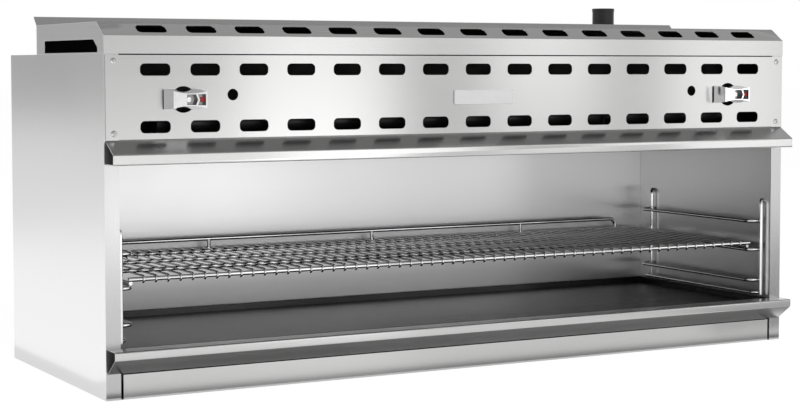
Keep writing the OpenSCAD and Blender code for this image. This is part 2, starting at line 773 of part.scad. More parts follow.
module mixing_tube() color(iron) place() {
    translate([valve_x, 0, valve_z]) rotate([-90, 0, 0]) rotate_extrude() polygon([
        [shutter_r - mixer_wall, mixer_y], [shutter_r, mixer_y],
        [mixer_throat_r + mixer_wall, throat_y], [mixer_out_r, mixer_straight],
        [mixer_r, mixer_straight], [mixer_throat_r, throat_y]]);
    translate([valve_x, mixer_straight, valve_z - mixer_bend]) rotate([90, 0, 90])
        rotate_extrude(angle = 90) translate([mixer_bend, 0]) difference() {
            circle(r = mixer_out_r);
            circle(r = mixer_r);
        }
    difference() {
        union() {
            rod_z(valve_x, mixer_foot_y, plenum_top, valve_z - mixer_bend, 2 * mixer_out_r);
            rod_z(valve_x, mixer_foot_y, plenum_top, plenum_top + foot_t, 2 * foot_r);
        }
        rod_z(valve_x, mixer_foot_y, plenum_top - eps, valve_z - mixer_bend + eps, 2 * mixer_r);
    }
}

module left_mixing_tube() mirror([1, 0, 0]) mixing_tube();

module right_mixing_tube() mixing_tube();

air_hole_r = 3.5;

module air_shutter() color(dark_steel) place() difference() {
    rod_y(valve_x, shutter_y, mixer_y, valve_z, 2 * shutter_r);
    rod_y(valve_x, shutter_y - eps, mixer_y + eps, valve_z, 2 * spud_r + 2 * hole_clear);
    for (w = [45:90:315])
        rod_y(valve_x + (spud_r + air_hole_r + 1.5) * cos(w), shutter_y - eps, mixer_y + eps,
              valve_z + (spud_r + air_hole_r + 1.5) * sin(w), 2 * air_hole_r);
}

module left_air_shutter() mirror([1, 0, 0]) air_shutter();

module right_air_shutter() air_shutter();

// ---- Valves ----

jet_d = 1.6;
gas_way_d = 6;
spud_tip = mixer_y + 6;
plug_r = stem_d / 2 + 3;
plug_front = valve_front + 12;
plug_back = valve_back - 12;
inlet_stub_d = 14;
bonnet_r = 15;
bonnet_h = 8;
neck_r = 9;
neck_l = 6;

module orifice() color(brass) place() difference() {
    rod_y(valve_x, valve_back, spud_tip, valve_z, 2 * spud_r);
    rod_y(valve_x, valve_back - eps, spud_tip - 3, valve_z, gas_way_d);
    rod_y(valve_x, spud_tip - 4, spud_tip + eps, valve_z, jet_d);
}

module left_orifice() mirror([1, 0, 0]) orifice();

module right_orifice() orifice();

module gas_valve() color(brass) place() difference() {
    union() {
        rod_y(valve_x, valve_front, valve_front + bonnet_h, valve_z, 2 * bonnet_r);
        rod_y(valve_x, valve_front + bonnet_h, valve_back - neck_l, valve_z, 2 * valve_r);
        rod_y(valve_x, valve_back - neck_l, valve_back, valve_z, 2 * neck_r);
        rod_z(valve_x, manifold_y, manifold_z + pipe_r - pipe_wall, valve_z, inlet_stub_d);
    }
    rod_y(valve_x, valve_front - eps, plug_front + eps, valve_z, stem_d + 2 * stem_clear);
    rod_y(valve_x, plug_front, plug_back, valve_z, 2 * (plug_r + stem_clear));
    rod_y(valve_x, plug_back - eps, valve_back + eps, valve_z, gas_way_d);
    rod_z(valve_x, manifold_y, manifold_z, valve_z - plug_r, gas_way_d);
}

module left_gas_valve() mirror([1, 0, 0]) gas_valve();

module right_gas_valve() gas_valve();

pocket_y = pocket_depth - lever_proj;
web_t = 2.5;
stem_tip = pocket_y + web_t;
lever_screw_d = 4;
lever_screw_l = 12;

module valve_stem(x) color(brass) place() difference() {
    union() {
        rod_y(x, stem_tip, plug_front + 2 * stem_clear, valve_z, stem_d);
        rod_y(x, plug_front + stem_clear, plug_back - stem_clear, valve_z, 2 * plug_r);
    }
    rod_y(x, stem_tip - eps, pocket_y + lever_screw_l, valve_z, lever_screw_d);
}

module left_valve_stem() valve_stem(-valve_x);

module right_valve_stem() valve_stem(valve_x);

// The lever's front outline: it narrows to a waist at its axis and flares to both ends
function lever_edge(x) =
    lever_waist / 2 + (lever_h - lever_waist) / 2 * pow(x / (x < 0 ? lever_tail : lever_tip), 2);
lever_xs = concat([for (i = [-4:0]) lever_tail * i / 4], [for (i = [1:4]) lever_tip * i / 4]);
pocket_half = lever_waist / 2 - 1.5;
ridge_x = 9;
ridge_w = 3;

// A piece of the lever with the plan given, whose height grows from its face to its back
module lever_block(plan, face_h) intersection() {
    translate([0, 0, -lever_back_h / 2]) linear_extrude(height = lever_back_h) polygon(plan);
    along_x(-lever_tail - tail_lean, lever_tip) polygon([
        [-lever_proj, face_h / 2], [-lever_gap, lever_back_h / 2],
        [-lever_gap, -lever_back_h / 2], [-lever_proj, -face_h / 2]]);
}

module lever(x) color(bright) place() translate([x, 0, valve_z]) difference() {
    union() {
        along_y(-lever_proj, -lever_gap) polygon(concat(
            [for (p = lever_xs) [p, lever_edge(p)]], [for (p = reversed(lever_xs)) [p, -lever_edge(p)]]));
        lever_block([[-lever_tail, -lever_proj], [-lever_tail, -lever_gap],
                     [lever_tip, -lever_gap], [lever_tip, -lever_proj]], lever_waist);
        lever_block([[-lever_tail, lever_step - lever_proj], [-lever_tail - tail_lean, -lever_gap],
                     [2 - lever_tail, -lever_gap], [2 - lever_tail, lever_step - lever_proj]], lever_h);
    }
    along_y(-lever_proj - eps, pocket_y) {
        polygon([[-4.7, -pocket_half], [ridge_x, -pocket_half], [ridge_x + ridge_w, 0],
                 [ridge_x, pocket_half], [-4.7, pocket_half]]);
        polygon([[ridge_x + ridge_w, -pocket_half - 0.4], [lever_tip - 2.6, -pocket_half - 0.4],
                 [lever_tip - 2.6, pocket_half + 0.4], [ridge_x + ridge_w, pocket_half + 0.4],
                 [ridge_x + 2 * ridge_w, 0]]);
    }
    for (groove = [[2.5, 0.8], [5.7, 1.2]])
        box(groove[0] - lever_tail, groove[0] + groove[1] - lever_tail, -lever_proj - eps, 0.6 - lever_proj,
            -lever_waist / 2 + 1, lever_waist / 2 - 1);
    rod_y(0, stem_tip, 0, 0, stem_d);
    rod_y(0, pocket_y - eps, stem_tip + eps, 0, lever_screw_d);
}

module left_lever() lever(-valve_x);

module right_lever() lever(valve_x);

insert_half = 3.3;
insert_t = 4;

module lever_insert(x) color([0.7, 0.12, 0.1]) place() translate([x, 0, valve_z])
    box(ridge_x + 2 * ridge_w + 1, lever_tip - 2.6, pocket_y - insert_t, pocket_y,
        -insert_half, insert_half);

module left_lever_insert() lever_insert(-valve_x);

module right_lever_insert() lever_insert(valve_x);

lever_head_r = 3.6;
lever_head_h = 2.6;

module lever_screw(x) color(bright) place() translate([x, pocket_y, valve_z]) difference() {
    union() {
        rod_y(0, -lever_head_h, 0, 0, 2 * lever_head_r);
        rod_y(0, -eps, lever_screw_l, 0, lever_screw_d);
    }
    box(-lever_head_r - eps, lever_head_r + eps, -lever_head_h - eps, 1 - lever_head_h, -0.5, 0.5);
}

module left_lever_screw() lever_screw(-valve_x);

module right_lever_screw() lever_screw(valve_x);

// ---- Gas train ----

manifold_half = valve_x + manifold_end;
bore_d = pipe_d - 2 * pipe_wall;
supply_hole_d = 18;

module gas_manifold() color(iron) place() difference() {
    rod_x(-manifold_half, manifold_half, manifold_y, manifold_z, pipe_d);
    rod_x(-manifold_half - eps, manifold_half + eps, manifold_y, manifold_z, bore_d);
    both_sides() {
        rod_z(valve_x, manifold_y, manifold_z, manifold_z + pipe_d, inlet_stub_d);
        rod_z(sight_x, manifold_y, manifold_z, manifold_z + pipe_d, 2 * pilot_r);
    }
    rod_z(supply_x, manifold_y, manifold_z, manifold_z + pipe_d, supply_hole_d);
}

module manifold_caps() color(iron) place() both_sides() difference() {
    rod_x(manifold_half - cap_l + 3, manifold_half + 3, manifold_y, manifold_z, 2 * collar_r - 4);
    rod_x(manifold_half - cap_l, manifold_half, manifold_y, manifold_z, pipe_d);
}

bracket_foot_l = 20;

module manifold_brackets() color(steel) place() both_sides() difference() {
    union() {
        box(bracket_x, bracket_x + saddle_t, manifold_y - collar_r, manifold_y + collar_r,
            stack_z, manifold_z);
        box(bracket_x, bracket_x + bracket_foot_l, manifold_y - collar_r, manifold_y + collar_r,
            stack_z, stack_z + saddle_t);
    }
    rod_x(bracket_x - eps, bracket_x + saddle_t + eps, manifold_y, manifold_z, pipe_d);
}

coupling_z = inlet_z - coupling_h;
riser_seat = 22;

module gas_inlet_coupling() color(iron) place() difference() {
    union() {
        rod_z(inlet_x, inlet_y, coupling_z, inlet_z, coupling_d - 1.2);
        for (z = [coupling_z, inlet_z - 6]) rod_z(inlet_x, inlet_y, z, z + 6, coupling_d);
    }
    rod_z(inlet_x, inlet_y, coupling_z - eps, coupling_z + riser_seat, pipe_d);
    rod_z(inlet_x, inlet_y, coupling_z, inlet_z, bore_d);
    rod_z(inlet_x, inlet_y, inlet_z - inlet_thread, inlet_z + eps, inlet_bore_d);
}

reg_x = inlet_x - regulator_run / 2;
bowl_r = reg_r - 6;
bowl_rim_h = 6;

module supply_pipes() color(iron) place() {
    difference() {
        rod_z(inlet_x, inlet_y, supply_z + elbow_seat, coupling_z + riser_seat, pipe_d);
        rod_z(inlet_x, inlet_y, supply_z, inlet_z, bore_d);
    }
    for (run = [[supply_x + elbow_seat, reg_x - reg_half + reg_port],
                [reg_x + reg_half - reg_port, inlet_x - elbow_seat]])
        difference() {
            rod_x(run[0], run[1], inlet_y, supply_z, pipe_d);
            rod_x(run[0] - eps, run[1] + eps, inlet_y, supply_z, bore_d);
        }
    difference() {
        rod_y(supply_x, manifold_y + elbow_seat, inlet_y - elbow_seat, supply_z, pipe_d);
        rod_y(supply_x, manifold_y, inlet_y, supply_z, bore_d);
    }
    difference() {
        rod_z(supply_x, manifold_y, manifold_z, supply_z - elbow_seat, pipe_d);
        rod_z(supply_x, manifold_y, manifold_z - eps, supply_z, supply_hole_d);
        rod_x(supply_x - pipe_d, supply_x + pipe_d, manifold_y, manifold_z, pipe_d);
    }
}

// An elbow's port along +X, hollow, with its pipe seat
module elbow_port() difference() {
    rod_x(elbow_bend, elbow_reach, 0, 0, 2 * collar_r);
    rod_x(0, elbow_reach, 0, 0, bore_d);
    rod_x(elbow_seat, elbow_reach + eps, 0, 0, pipe_d);
}

// An elbow whose ports face +X and +Y
module elbow() {
    translate([elbow_bend, elbow_bend, 0]) rotate([0, 0, 180]) rotate_extrude(angle = 90)
        translate([elbow_bend, 0]) difference() {
            circle(r = collar_r - 2);
            circle(d = bore_d);
        }
    elbow_port();
    mirror([1, -1, 0]) elbow_port();
}

module pipe_elbows() color(iron) place() {
    translate([inlet_x, inlet_y, supply_z]) rotate([90, 0, 180]) elbow();
    translate([supply_x, inlet_y, supply_z]) rotate([0, 0, -90]) elbow();
    translate([supply_x, manifold_y, supply_z]) rotate([0, 90, 0]) elbow();
}

module pressure_regulator() color([0.55, 0.56, 0.58]) place()
    translate([reg_x, inlet_y, supply_z]) difference() {
        union() {
            rod_x(-reg_half, reg_half, 0, 0, 2 * collar_r);
            rod_z(0, 0, -collar_r, collar_r - bowl_rim_h, 2 * bowl_r);
            rod_z(0, 0, collar_r - bowl_rim_h, collar_r, 2 * reg_r);
            translate([0, 0, collar_r])
                cylinder(r1 = bowl_r, r2 = spring_cap_d / 2, h = bowl_rim_h);
            rod_z(0, 0, collar_r, collar_r + spring_cap_h, spring_cap_d);
        }
        both_sides() rod_x(reg_half - reg_port, reg_half + eps, 0, 0, pipe_d);
        rod_x(-reg_half, reg_half, 0, 0, gas_way_d);
    }

pilot_half = 14;

module pilot_valves() color(brass) place() both_sides() difference() {
    union() {
        rod_z(sight_x, manifold_y, manifold_z + pipe_r - pipe_wall, sight_z, 2 * pilot_r);
        rod_y(sight_x, manifold_y - pilot_half, manifold_y + pilot_half, sight_z, 4 * pilot_r - 4);
    }
    box(sight_x - pilot_r, sight_x + pilot_r, manifold_y - pilot_half - eps, manifold_y - pilot_half + 1,
        sight_z - 0.6, sight_z + 0.6);
}

module pilot_tubes() color([0.75, 0.75, 0.77]) place() both_sides() {
    rod_y(sight_x, manifold_y + pilot_half, pilot_y - pilot_bend, sight_z, pilot_tube_d);
    translate([sight_x, pilot_y - pilot_bend, sight_z - pilot_bend]) rotate([90, 0, 90])
        quarter(0, 0, 0, pilot_bend, pilot_tube_d, 0);
    rod_z(sight_x, pilot_y, ceiling_z, sight_z - pilot_bend, pilot_tube_d);
}

module pilot_burners() color(dark_steel) place() both_sides() {
    rod_z(sight_x, pilot_y, ceiling_z - pilot_drop, ceiling_z, 2 * pilot_r);
    rod_y(sight_x, pilot_y, pilot_y + pilot_tip_l, ceiling_z - pilot_drop + pilot_r / 2, pilot_r);
}

// ---- Spill pan ----

module pan_rails() color(steel) place() both_sides() {
    box(cavity_half - pan_rail_w, cavity_half, 2 * pan_front, pan_back, rail_top - skin_t, rail_top);
    box(cavity_half - skin_t, cavity_half, 2 * pan_front, pan_back, rail_top - pan_rail_w, rail_top);
}

module spill_pan() color(dark_steel) place() difference() {
    box(-pan_half, pan_half, pan_front, pan_back, pan_floor_z - skin_t, pan_rim_z);
    box(skin_t - pan_half, pan_half - skin_t, pan_front + skin_t, pan_back - skin_t,
        pan_floor_z, pan_rim_z + eps);
}

bull_back = flange_y - 2 * slide_clear;
bull_face = [[-nose_proj, pan_rim_z], [-nose_proj, pan_rim_z - bull_nose_h], [bull_back, bull_z]];
bull_ends = rounded(concat([[bull_back, pan_rim_z]], bull_face), bend_r);
bull_mid = rounded(concat([[pan_front, pan_floor_z], [pan_front, pan_rim_z]], bull_face), bend_r);

module pan_bullnose() color(bright) place() {
    along_x(-pan_half, pan_half) polygon(sheet(bull_mid, skin_t));
    both_sides() along_x(pan_half, panel_half) polygon(sheet(bull_ends, skin_t));
}

// ---- Rack guides ----

module guide_wire(z, reach, bend) {
    y0 = post_front + (post_d + guide_d) / 2 - weld_sink;
    y1 = post_rear + (post_d + guide_d) / 2 - weld_sink;
    x0 = cavity_half - reach;
    rod_x(x0 + bend, cavity_half, y0, z, guide_d);
    rod_x(x0 + bend, cavity_half, y1, z, guide_d);
    rod_y(x0, y0 + bend, y1 - bend, z, guide_d);
    quarter(x0 + bend, y0 + bend, z, bend, guide_d, 180);
    quarter(x0 + bend, y1 - bend, z, bend, guide_d, 90);
}

module rack_guide() color(bright) place() {
    difference() {
        for (y = [post_front, post_rear]) post(y, post_d);
        box(cavity_half + liner_t, half_w + side_wall, 0, body_d, post_z0, body_h);
    }
    for (z = [level_1_z, level_2_z, level_3_z]) guide_wire(z, guide_reach, guide_bend);
    guide_wire(low_z, low_reach, low_reach - guide_d);
}

module left_rack_guide() mirror([1, 0, 0]) rack_guide();

module right_rack_guide() rack_guide();

// ---- Wire rack ----

gap_shift = wire_gaps % 2 == 1 ? 0 : 0.5;
function between_wires(x) = (round(x / wire_pitch - gap_shift) + gap_shift) * wire_pitch;
rail_z = rod_z + rail_rise;
rail_end = between_wires(rail_half);

module rack_frame() color(bright) place() {
    for (i = [0:mid_rods + 1])
        rod_x(-rack_half, rack_half, rack_front + i * (rack_rear - rack_front) / (mid_rods + 1),
              rod_z, rod_d);
    rod_x(rail_bend - rail_end, rail_end - rail_bend, rack_rear, rail_z, rail_d);
    for (x = [-rail_post_x, 0, rail_post_x])
        rod_z(between_wires(x), rack_rear, rod_z, rail_z, rail_d);
    both_sides() {
        rod_y(runner_x, rack_front, rack_rear, runner_z, runner_d);
        rod_z(rail_end, rack_rear, rod_z, rail_z - rail_bend, rail_d);
        translate([rail_end - rail_bend, rack_rear, rail_z - rail_bend]) rotate([90, 0, 0])
            quarter(0, 0, 0, rail_bend, rail_d, 0);
    }
}

// Half a ring of wire round a cross rod, from the angle start on
module wrap(y, start) translate([0, y, rod_z]) rotate([90, 0, 90]) rotate([0, 0, start])
    rotate_extrude(angle = 180) translate([wrap_r, 0]) circle(d = wire_d);

module rack_wires() color(bright) place() for (i = [0:wire_gaps])
    translate([(i - wire_gaps / 2) * wire_pitch, 0, 0]) {
        rod_y(0, rack_front, rack_rear, wire_z, wire_d);
        wrap(rack_front, 90);
        wrap(rack_rear, -90);
    }

base_pan();
left_side_panel();
right_side_panel();
rear_panel();
top_deck();
left_liner();
right_liner();
rear_liner();
ceiling_panel();
side_insulation();
rear_insulation();
kick_panel();
control_panel();
upper_visor();
badge_plate();
sheet_screws();
hood_cover();
left_hood_end();
right_hood_end();
heat_shield();
left_burner_body();
right_burner_body();
left_burner_tiles();
right_burner_tiles();
left_burner_screen();
right_burner_screen();
left_mixing_tube();
right_mixing_tube();
left_air_shutter();
right_air_shutter();
left_orifice();
right_orifice();
left_gas_valve();
right_gas_valve();
left_valve_stem();
right_valve_stem();
left_lever();
right_lever();
left_lever_insert();
right_lever_insert();
left_lever_screw();
right_lever_screw();
gas_manifold();
manifold_caps();
manifold_brackets();
gas_inlet_coupling();
supply_pipes();
pipe_elbows();
pressure_regulator();
pilot_valves();
pilot_tubes();
pilot_burners();
pan_rails();
spill_pan();
pan_bullnose();
left_rack_guide();
right_rack_guide();
rack_frame();
rack_wires();
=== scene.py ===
"""Cheese melter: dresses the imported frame, lights it and sets the camera of the photograph."""
from __future__ import annotations

import sys

import logging
import math
from abc import ABC, abstractmethod
from collections.abc import Callable, Sequence
from dataclasses import dataclass, field
from enum import Enum
from typing import Any

import bmesh
import bpy
from mathutils import Matrix, Vector

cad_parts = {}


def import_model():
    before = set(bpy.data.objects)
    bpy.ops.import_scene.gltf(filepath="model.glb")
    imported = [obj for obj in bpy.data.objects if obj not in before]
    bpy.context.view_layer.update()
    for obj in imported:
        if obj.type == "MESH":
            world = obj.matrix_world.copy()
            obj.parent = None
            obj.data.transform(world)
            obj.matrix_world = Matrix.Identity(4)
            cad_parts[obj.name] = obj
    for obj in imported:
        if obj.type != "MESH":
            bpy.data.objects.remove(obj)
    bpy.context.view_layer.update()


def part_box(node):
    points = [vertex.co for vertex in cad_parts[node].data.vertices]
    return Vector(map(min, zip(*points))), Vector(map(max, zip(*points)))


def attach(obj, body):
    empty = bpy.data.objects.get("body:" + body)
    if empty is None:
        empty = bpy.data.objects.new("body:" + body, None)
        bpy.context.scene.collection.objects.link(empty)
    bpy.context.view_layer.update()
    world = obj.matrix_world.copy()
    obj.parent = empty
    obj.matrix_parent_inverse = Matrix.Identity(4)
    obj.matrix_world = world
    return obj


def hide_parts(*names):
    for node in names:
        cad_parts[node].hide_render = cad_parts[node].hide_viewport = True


LOG = logging.getLogger("cheese_melter")
MM = 0.001
IMAGE_WIDTH = 800
WHITE = (1.0, 1.0, 1.0)
HANDS = ("left", "right")
# The least share of a face's normal along an axis that it is said to face
FACING = 0.5
# Vertices this near to each other are one, and faces this near to one plane are one
SAME_PLACE = 2e-6
SAME_PLANE = math.radians(0.4)
# The range that a mean of lines or pits with soft patches mostly lies in
USUAL = (0.2, 0.8)
# The places of a Mix node's mask, its colours and its result
MIX_MASK, MIX_A, MIX_B, MIX_RESULT = 0, 6, 7, 2

Colour = tuple[float, float, float]
Point = tuple[float, float, float]
Span = tuple[float, float]
Tree = bpy.types.NodeTree
Socket = bpy.types.NodeSocket
Material = bpy.types.Material
Thing = bpy.types.Object
FaceTest = Callable[[Vector, Vector], bool]


class Axis(Enum):
    """The direction that a sheet is brushed in, or that its gloss is spread along."""

    X = "X"
    Y = "Y"
    Z = "Z"


class Body(Enum):
    """The rigid bodies that pieces ride on."""

    CABINET = "cabinet"
    RACK = "rack"
    PAN = "pan"
    LEFT_VALVE = "left_valve"
    RIGHT_VALVE = "right_valve"


class Slot(Enum):
    """The record's material slots that the new pieces are listed with."""

    STEEL = "steel"
    BRIGHT_STEEL = "bright_steel"
    HEAT_STEEL = "heat_steel"
    BADGE = "badge"
    PLATED = "plated"
    CHROME = "chrome"
    BLACK_PIPE = "black_pipe"
    RED_PLASTIC = "red_plastic"


def grey(tone: float) -> Colour:
    """A neutral colour."""
    return (tone, tone, tone)


def rgba(colour: Any) -> Any:
    """Adds a full alpha to a plain colour, and leaves anything else alone."""
    return (*colour, 1.0) if isinstance(colour, tuple) and len(colour) == 3 else colour


def spaced(values: dict[str, Any]) -> dict[str, Any]:
    """Turns keywords into socket names, with a space for each _."""
    return {key.replace("_", " "): value for key, value in values.items()}


def added(name: str, data: Any) -> Thing:
    """Adds a mesh, a lamp or a camera to the scene by that name, and returns its object."""
    obj = bpy.data.objects.new(name, data)
    bpy.context.scene.collection.objects.link(obj)
    return obj


def shaped(name: str, work: bmesh.types.BMesh) -> Thing:
    """Turns a finished bmesh into an object by that name, and frees the bmesh."""
    mesh = bpy.data.meshes.new(name)
    work.to_mesh(mesh)
    work.free()
    return added(name, mesh)


# ---- Node trees ----


class Graph:
    """Adds and links the nodes of one tree."""

    def __init__(self, tree: Tree) -> None:
        """Keeps the tree that the nodes go into."""
        self.tree = tree

    def add(self, kind: str, feeds: dict[Any, Any] | None = None, **settings: Any) -> bpy.types.Node:
        """Adds a node.

        Args:
            kind: The node's type name.
            feeds: What its inputs take, by name or by place.
            **settings: The node's own settings.

        Returns:
            The new node.
        """
        node = self.tree.nodes.new(kind)
        for key, value in settings.items():
            setattr(node, key, value)
        for key, value in (feeds or {}).items():
            self.feed(node.inputs[key], value)
        return node

    def out(self, kind: str, feeds: dict[Any, Any] | None = None, **settings: Any) -> Socket:
        """Adds a node as add does, and returns its first output."""
        return self.add(kind, feeds, **settings).outputs[0]

    def feed(self, socket: Socket, value: Any) -> None:
        """Links an input to an output socket, or gives it a plain value."""
        if isinstance(value, Socket):
            self.tree.links.new(value, socket)
        else:
            socket.default_value = value

    def math(self, operation: str, *operands: Any) -> Socket:
        """Adds a Math node with its one, two or three operands, and returns its result."""
        return self.out("ShaderNodeMath", dict(enumerate(operands)), operation=operation)

    def mean(self, a: Any, b: Any, share: float) -> Socket:
        """Weighs two values, of which the second one has the given share."""
        return self.math("ADD", self.math("MULTIPLY", a, 1.0 - share), self.math("MULTIPLY", b, share))

    def vector(self, x: Any, y: Any, z: Any) -> Socket:
        """Joins three values into a vector."""
        return self.out("ShaderNodeCombineXYZ", {0: x, 1: y, 2: z})

    def parts(self, vector: Socket) -> Any:
        """Splits a vector into the sockets X, Y and Z."""
        return self.add("ShaderNodeSeparateXYZ", {0: vector}).outputs

    def scaled(self, vector: Any, scale: Any) -> Socket:
        """Multiplies a vector by another one, part by part."""
        return self.out("ShaderNodeVectorMath", {0: vector, 1: scale}, operation="MULTIPLY")

    def noise(self, vector: Any, scale: Any, detail: float = 2.0, roughness: float = 0.5) -> Socket:
        """Adds a noise from 0 to 1, with a number of finer layers (detail) and their weight (roughness)."""
        return self.out("ShaderNodeTexNoise", {
            "Vector": vector, "Scale": scale, "Detail": detail, "Roughness": roughness})

    def spread(self, value: Any, low: Any, high: Any, to_low: Any = 0.0, to_high: Any = 1.0) -> Socket:
        """Maps a value smoothly from the range low to high onto the range to_low to to_high."""
        return self.out("ShaderNodeMapRange", {
            "Value": value, "From Min": low, "From Max": high, "To Min": to_low, "To Max": to_high},
            interpolation_type="SMOOTHSTEP")

    def ramp(self, mask: Any, low: Any, high: Any) -> Socket:
        """Maps a mask smoothly onto the range low to high."""
        return self.spread(mask, 0.0, 1.0, low, high)

    def blend(self, mask: Any, a: Any, b: Any) -> Socket:
        """Mixes two colours, of which the second one shows where the mask is 1."""
        feeds = {MIX_MASK: mask, MIX_A: rgba(a), MIX_B: rgba(b)}
        return self.add("ShaderNodeMix", feeds, data_type="RGBA").outputs[MIX_RESULT]

    def bump(self, height: Any, distance: float) -> Socket:
        """Turns a height from 0 to 1 into a normal; the distance is the height of 1, in metres."""
        return self.out("ShaderNodeBump", {"Strength": 1.0, "Distance": distance, "Height": height})


class Effects:
    """The shader node groups that several materials share, each built once."""

    def __init__(self) -> None:
        """Builds the groups."""
        self.grain = self._grain()
        self.clouds = self._clouds()
        self.scratches = self._scratches()
        self.heat = self._heat()

    @staticmethod
    def _group(name: str, output: str, **defaults: Any) -> tuple[Graph, Any, Socket]:
        """Starts a shader group whose first input is a vector.

        Args:
            name: The group's name.
            output: The output's name.
            **defaults: The other inputs' defaults, numbers or vectors, with _ for a space.

        Returns:
            The graph, the group's inputs by name, and the socket that takes its result.
        """
        tree = bpy.data.node_groups.new(name, "ShaderNodeTree")
        for label, default in spaced({"Vector": grey(0.0), **defaults}).items():
            kind = "NodeSocketVector" if isinstance(default, tuple) else "NodeSocketFloat"
            tree.interface.new_socket(label, in_out="INPUT", socket_type=kind).default_value = default
        tree.interface.new_socket(output, in_out="OUTPUT", socket_type="NodeSocketFloat")
        graph = Graph(tree)
        return graph, graph.add("NodeGroupInput").outputs, graph.add("NodeGroupOutput").inputs[0]

    def _grain(self) -> Tree:
        """Long brushed lines: coarse ones over fine ones."""
        graph, given, result = self._group("brushed_grain", "Lines", Stretch=WHITE, Coarse_Share=0.4)
        stretched = graph.scaled(given["Vector"], given["Stretch"])
        fine = graph.noise(stretched, scale=1.0, detail=3.0, roughness=0.65)
        coarse = graph.noise(stretched, scale=0.13)
        share = given["Coarse Share"]
        kept = graph.math("MULTIPLY", fine, graph.math("SUBTRACT", 1.0, share))
        graph.feed(result, graph.math("ADD", kept, graph.math("MULTIPLY", coarse, share)))
        return graph.tree

    def _clouds(self) -> Tree:
        """Soft uneven patches, such as wiping marks and a rolled sheet's waves."""
        graph, given, result = self._group("wiped_clouds", "Mask", Scale=4.0, Contrast=0.5)
        patches = graph.noise(given["Vector"], given["Scale"], detail=3.0, roughness=0.55)
        half = graph.math("MULTIPLY", graph.math("SUBTRACT", 1.0, given["Contrast"]), 0.5)
        graph.feed(result, graph.spread(patches, half, graph.math("SUBTRACT", 1.0, half)))
        return graph.tree

    def _scratches(self) -> Tree:
        """Sparse fine scratches in two directions."""
        graph, given, result = self._group("fine_scratches", "Mask", Density=0.3)
        marks = []
        for turn, stretch in ((0.35, (9.0, 420.0, 420.0)), (-0.9, (12.0, 360.0, 360.0))):
            turned = graph.out("ShaderNodeMapping", {"Rotation": grey(turn), "Vector": given["Vector"]})
            lines = graph.noise(graph.scaled(turned, stretch), scale=1.0, detail=1.0)
            faintest = graph.math("SUBTRACT", 0.76, graph.math("MULTIPLY", given["Density"], 0.2))
            marks.append(graph.spread(lines, faintest, 0.82))
        graph.feed(result, graph.math("MAXIMUM", *marks))
        return graph.tree

    def _heat(self) -> Tree:
        """A mask that grows with height towards the burners, with a ragged edge."""
        graph, given, result = self._group("heat_tint", "Mask", Cool_Height=0.1, Hot_Height=0.3)
        reach = 0.08
        wander = graph.noise(given["Vector"], scale=7.0, detail=3.0)
        ragged = graph.math("MULTIPLY_ADD", wander, reach, -reach / 2)
        height = graph.math("ADD", graph.parts(given["Vector"])["Z"], ragged)
        graph.feed(result, graph.spread(height, given["Cool Height"], given["Hot Height"]))
        return graph.tree


class Paint(Graph):
    """One material's tree, with its Principled shader."""

    def __init__(self, name: str) -> None:
        """Makes the material by that name."""
        self.material = bpy.data.materials.new(name)
        self.material.use_nodes = True
        super().__init__(self.material.node_tree)
        self.shader = self.tree.nodes["Principled BSDF"]

    def set(self, **values: Any) -> None:
        """Feeds the shader's sockets, named with _ for a space."""
        for key, value in spaced(values).items():
            self.feed(self.shader.inputs[key], rgba(value))


class Surface(Paint):
    """The tree of a material that the melter wears, with its coordinates and the shared groups."""

    def __init__(self, name: str, effects: Effects) -> None:
        """Makes the material by that name, which can place the shared groups."""
        super().__init__(name)
        self.effects = effects
        self.place = self.add("ShaderNodeTexCoord").outputs["Object"]

    def use(self, group: Tree, **values: Any) -> Socket:
        """Places a shared group, with its inputs by name and _ for a space, and returns its output."""
        feeds = {"Vector": self.place, **spaced(values)}
        return self.out("ShaderNodeGroup", feeds, node_tree=group)

    def patches(self, scale: float, contrast: float = 0.5) -> Socket:
        """Places the group of soft patches, whose edges harden with the contrast."""
        return self.use(self.effects.clouds, Scale=scale, Contrast=contrast)


# ---- Finishes ----


@dataclass(frozen=True)
class Finish(ABC):
    """What a piece wears."""

    name: str

    def build(self, effects: Effects) -> Material:
        """Builds the material, which can place the shared groups."""
        surface = Surface(self.name, effects)
        self.coat(surface)
        return surface.material

    @abstractmethod
    def coat(self, surface: Surface) -> None:
        """Sets the shader of the material whose tree is given."""


@dataclass(frozen=True)
class BrushedSteel(Finish):
    """Stainless sheet with a directional grain, whose gloss may lie along another axis."""

    tone: Colour = (0.66, 0.66, 0.655)
    shade: Colour = (0.58, 0.58, 0.578)
    roughness: float = 0.25
    roughness_play: float = 0.05
    anisotropy: float = 0.7
    grain: Axis = Axis.X
    gloss: Axis | None = None
    grain_length: float = 0.25
    grain_pitch: float = 0.9 * MM
    grain_depth: float = 0.0012 * MM
    coarse_share: float = 0.25
    cloud_scale: float = 3.5
    cloud_contrast: float = 0.6
    cloud_share: float = 0.3

    def coat(self, surface: Surface) -> None:
        """Sets the shader: the lines and the clouds colour it, and the lines roughen it."""
        across, along = 1.0 / self.grain_pitch, 1.0 / self.grain_length
        stretch = tuple(along if axis is self.grain else across for axis in Axis)
        lines = surface.use(surface.effects.grain, Stretch=stretch, Coarse_Share=self.coarse_share)
        clouds = surface.patches(self.cloud_scale, self.cloud_contrast)
        uneven = surface.mean(lines, clouds, self.cloud_share)
        play = self.roughness_play / 2
        gloss = self.gloss or self.grain
        tangent = surface.out("ShaderNodeTangent", direction_type="RADIAL", axis=gloss.value)
        surface.set(Base_Color=surface.blend(uneven, self.shade, self.tone), Metallic=1.0,
                    Roughness=surface.spread(uneven, *USUAL, self.roughness - play, self.roughness + play),
                    Anisotropic=self.anisotropy, Tangent=tangent,
                    Normal=surface.bump(lines, self.grain_depth))


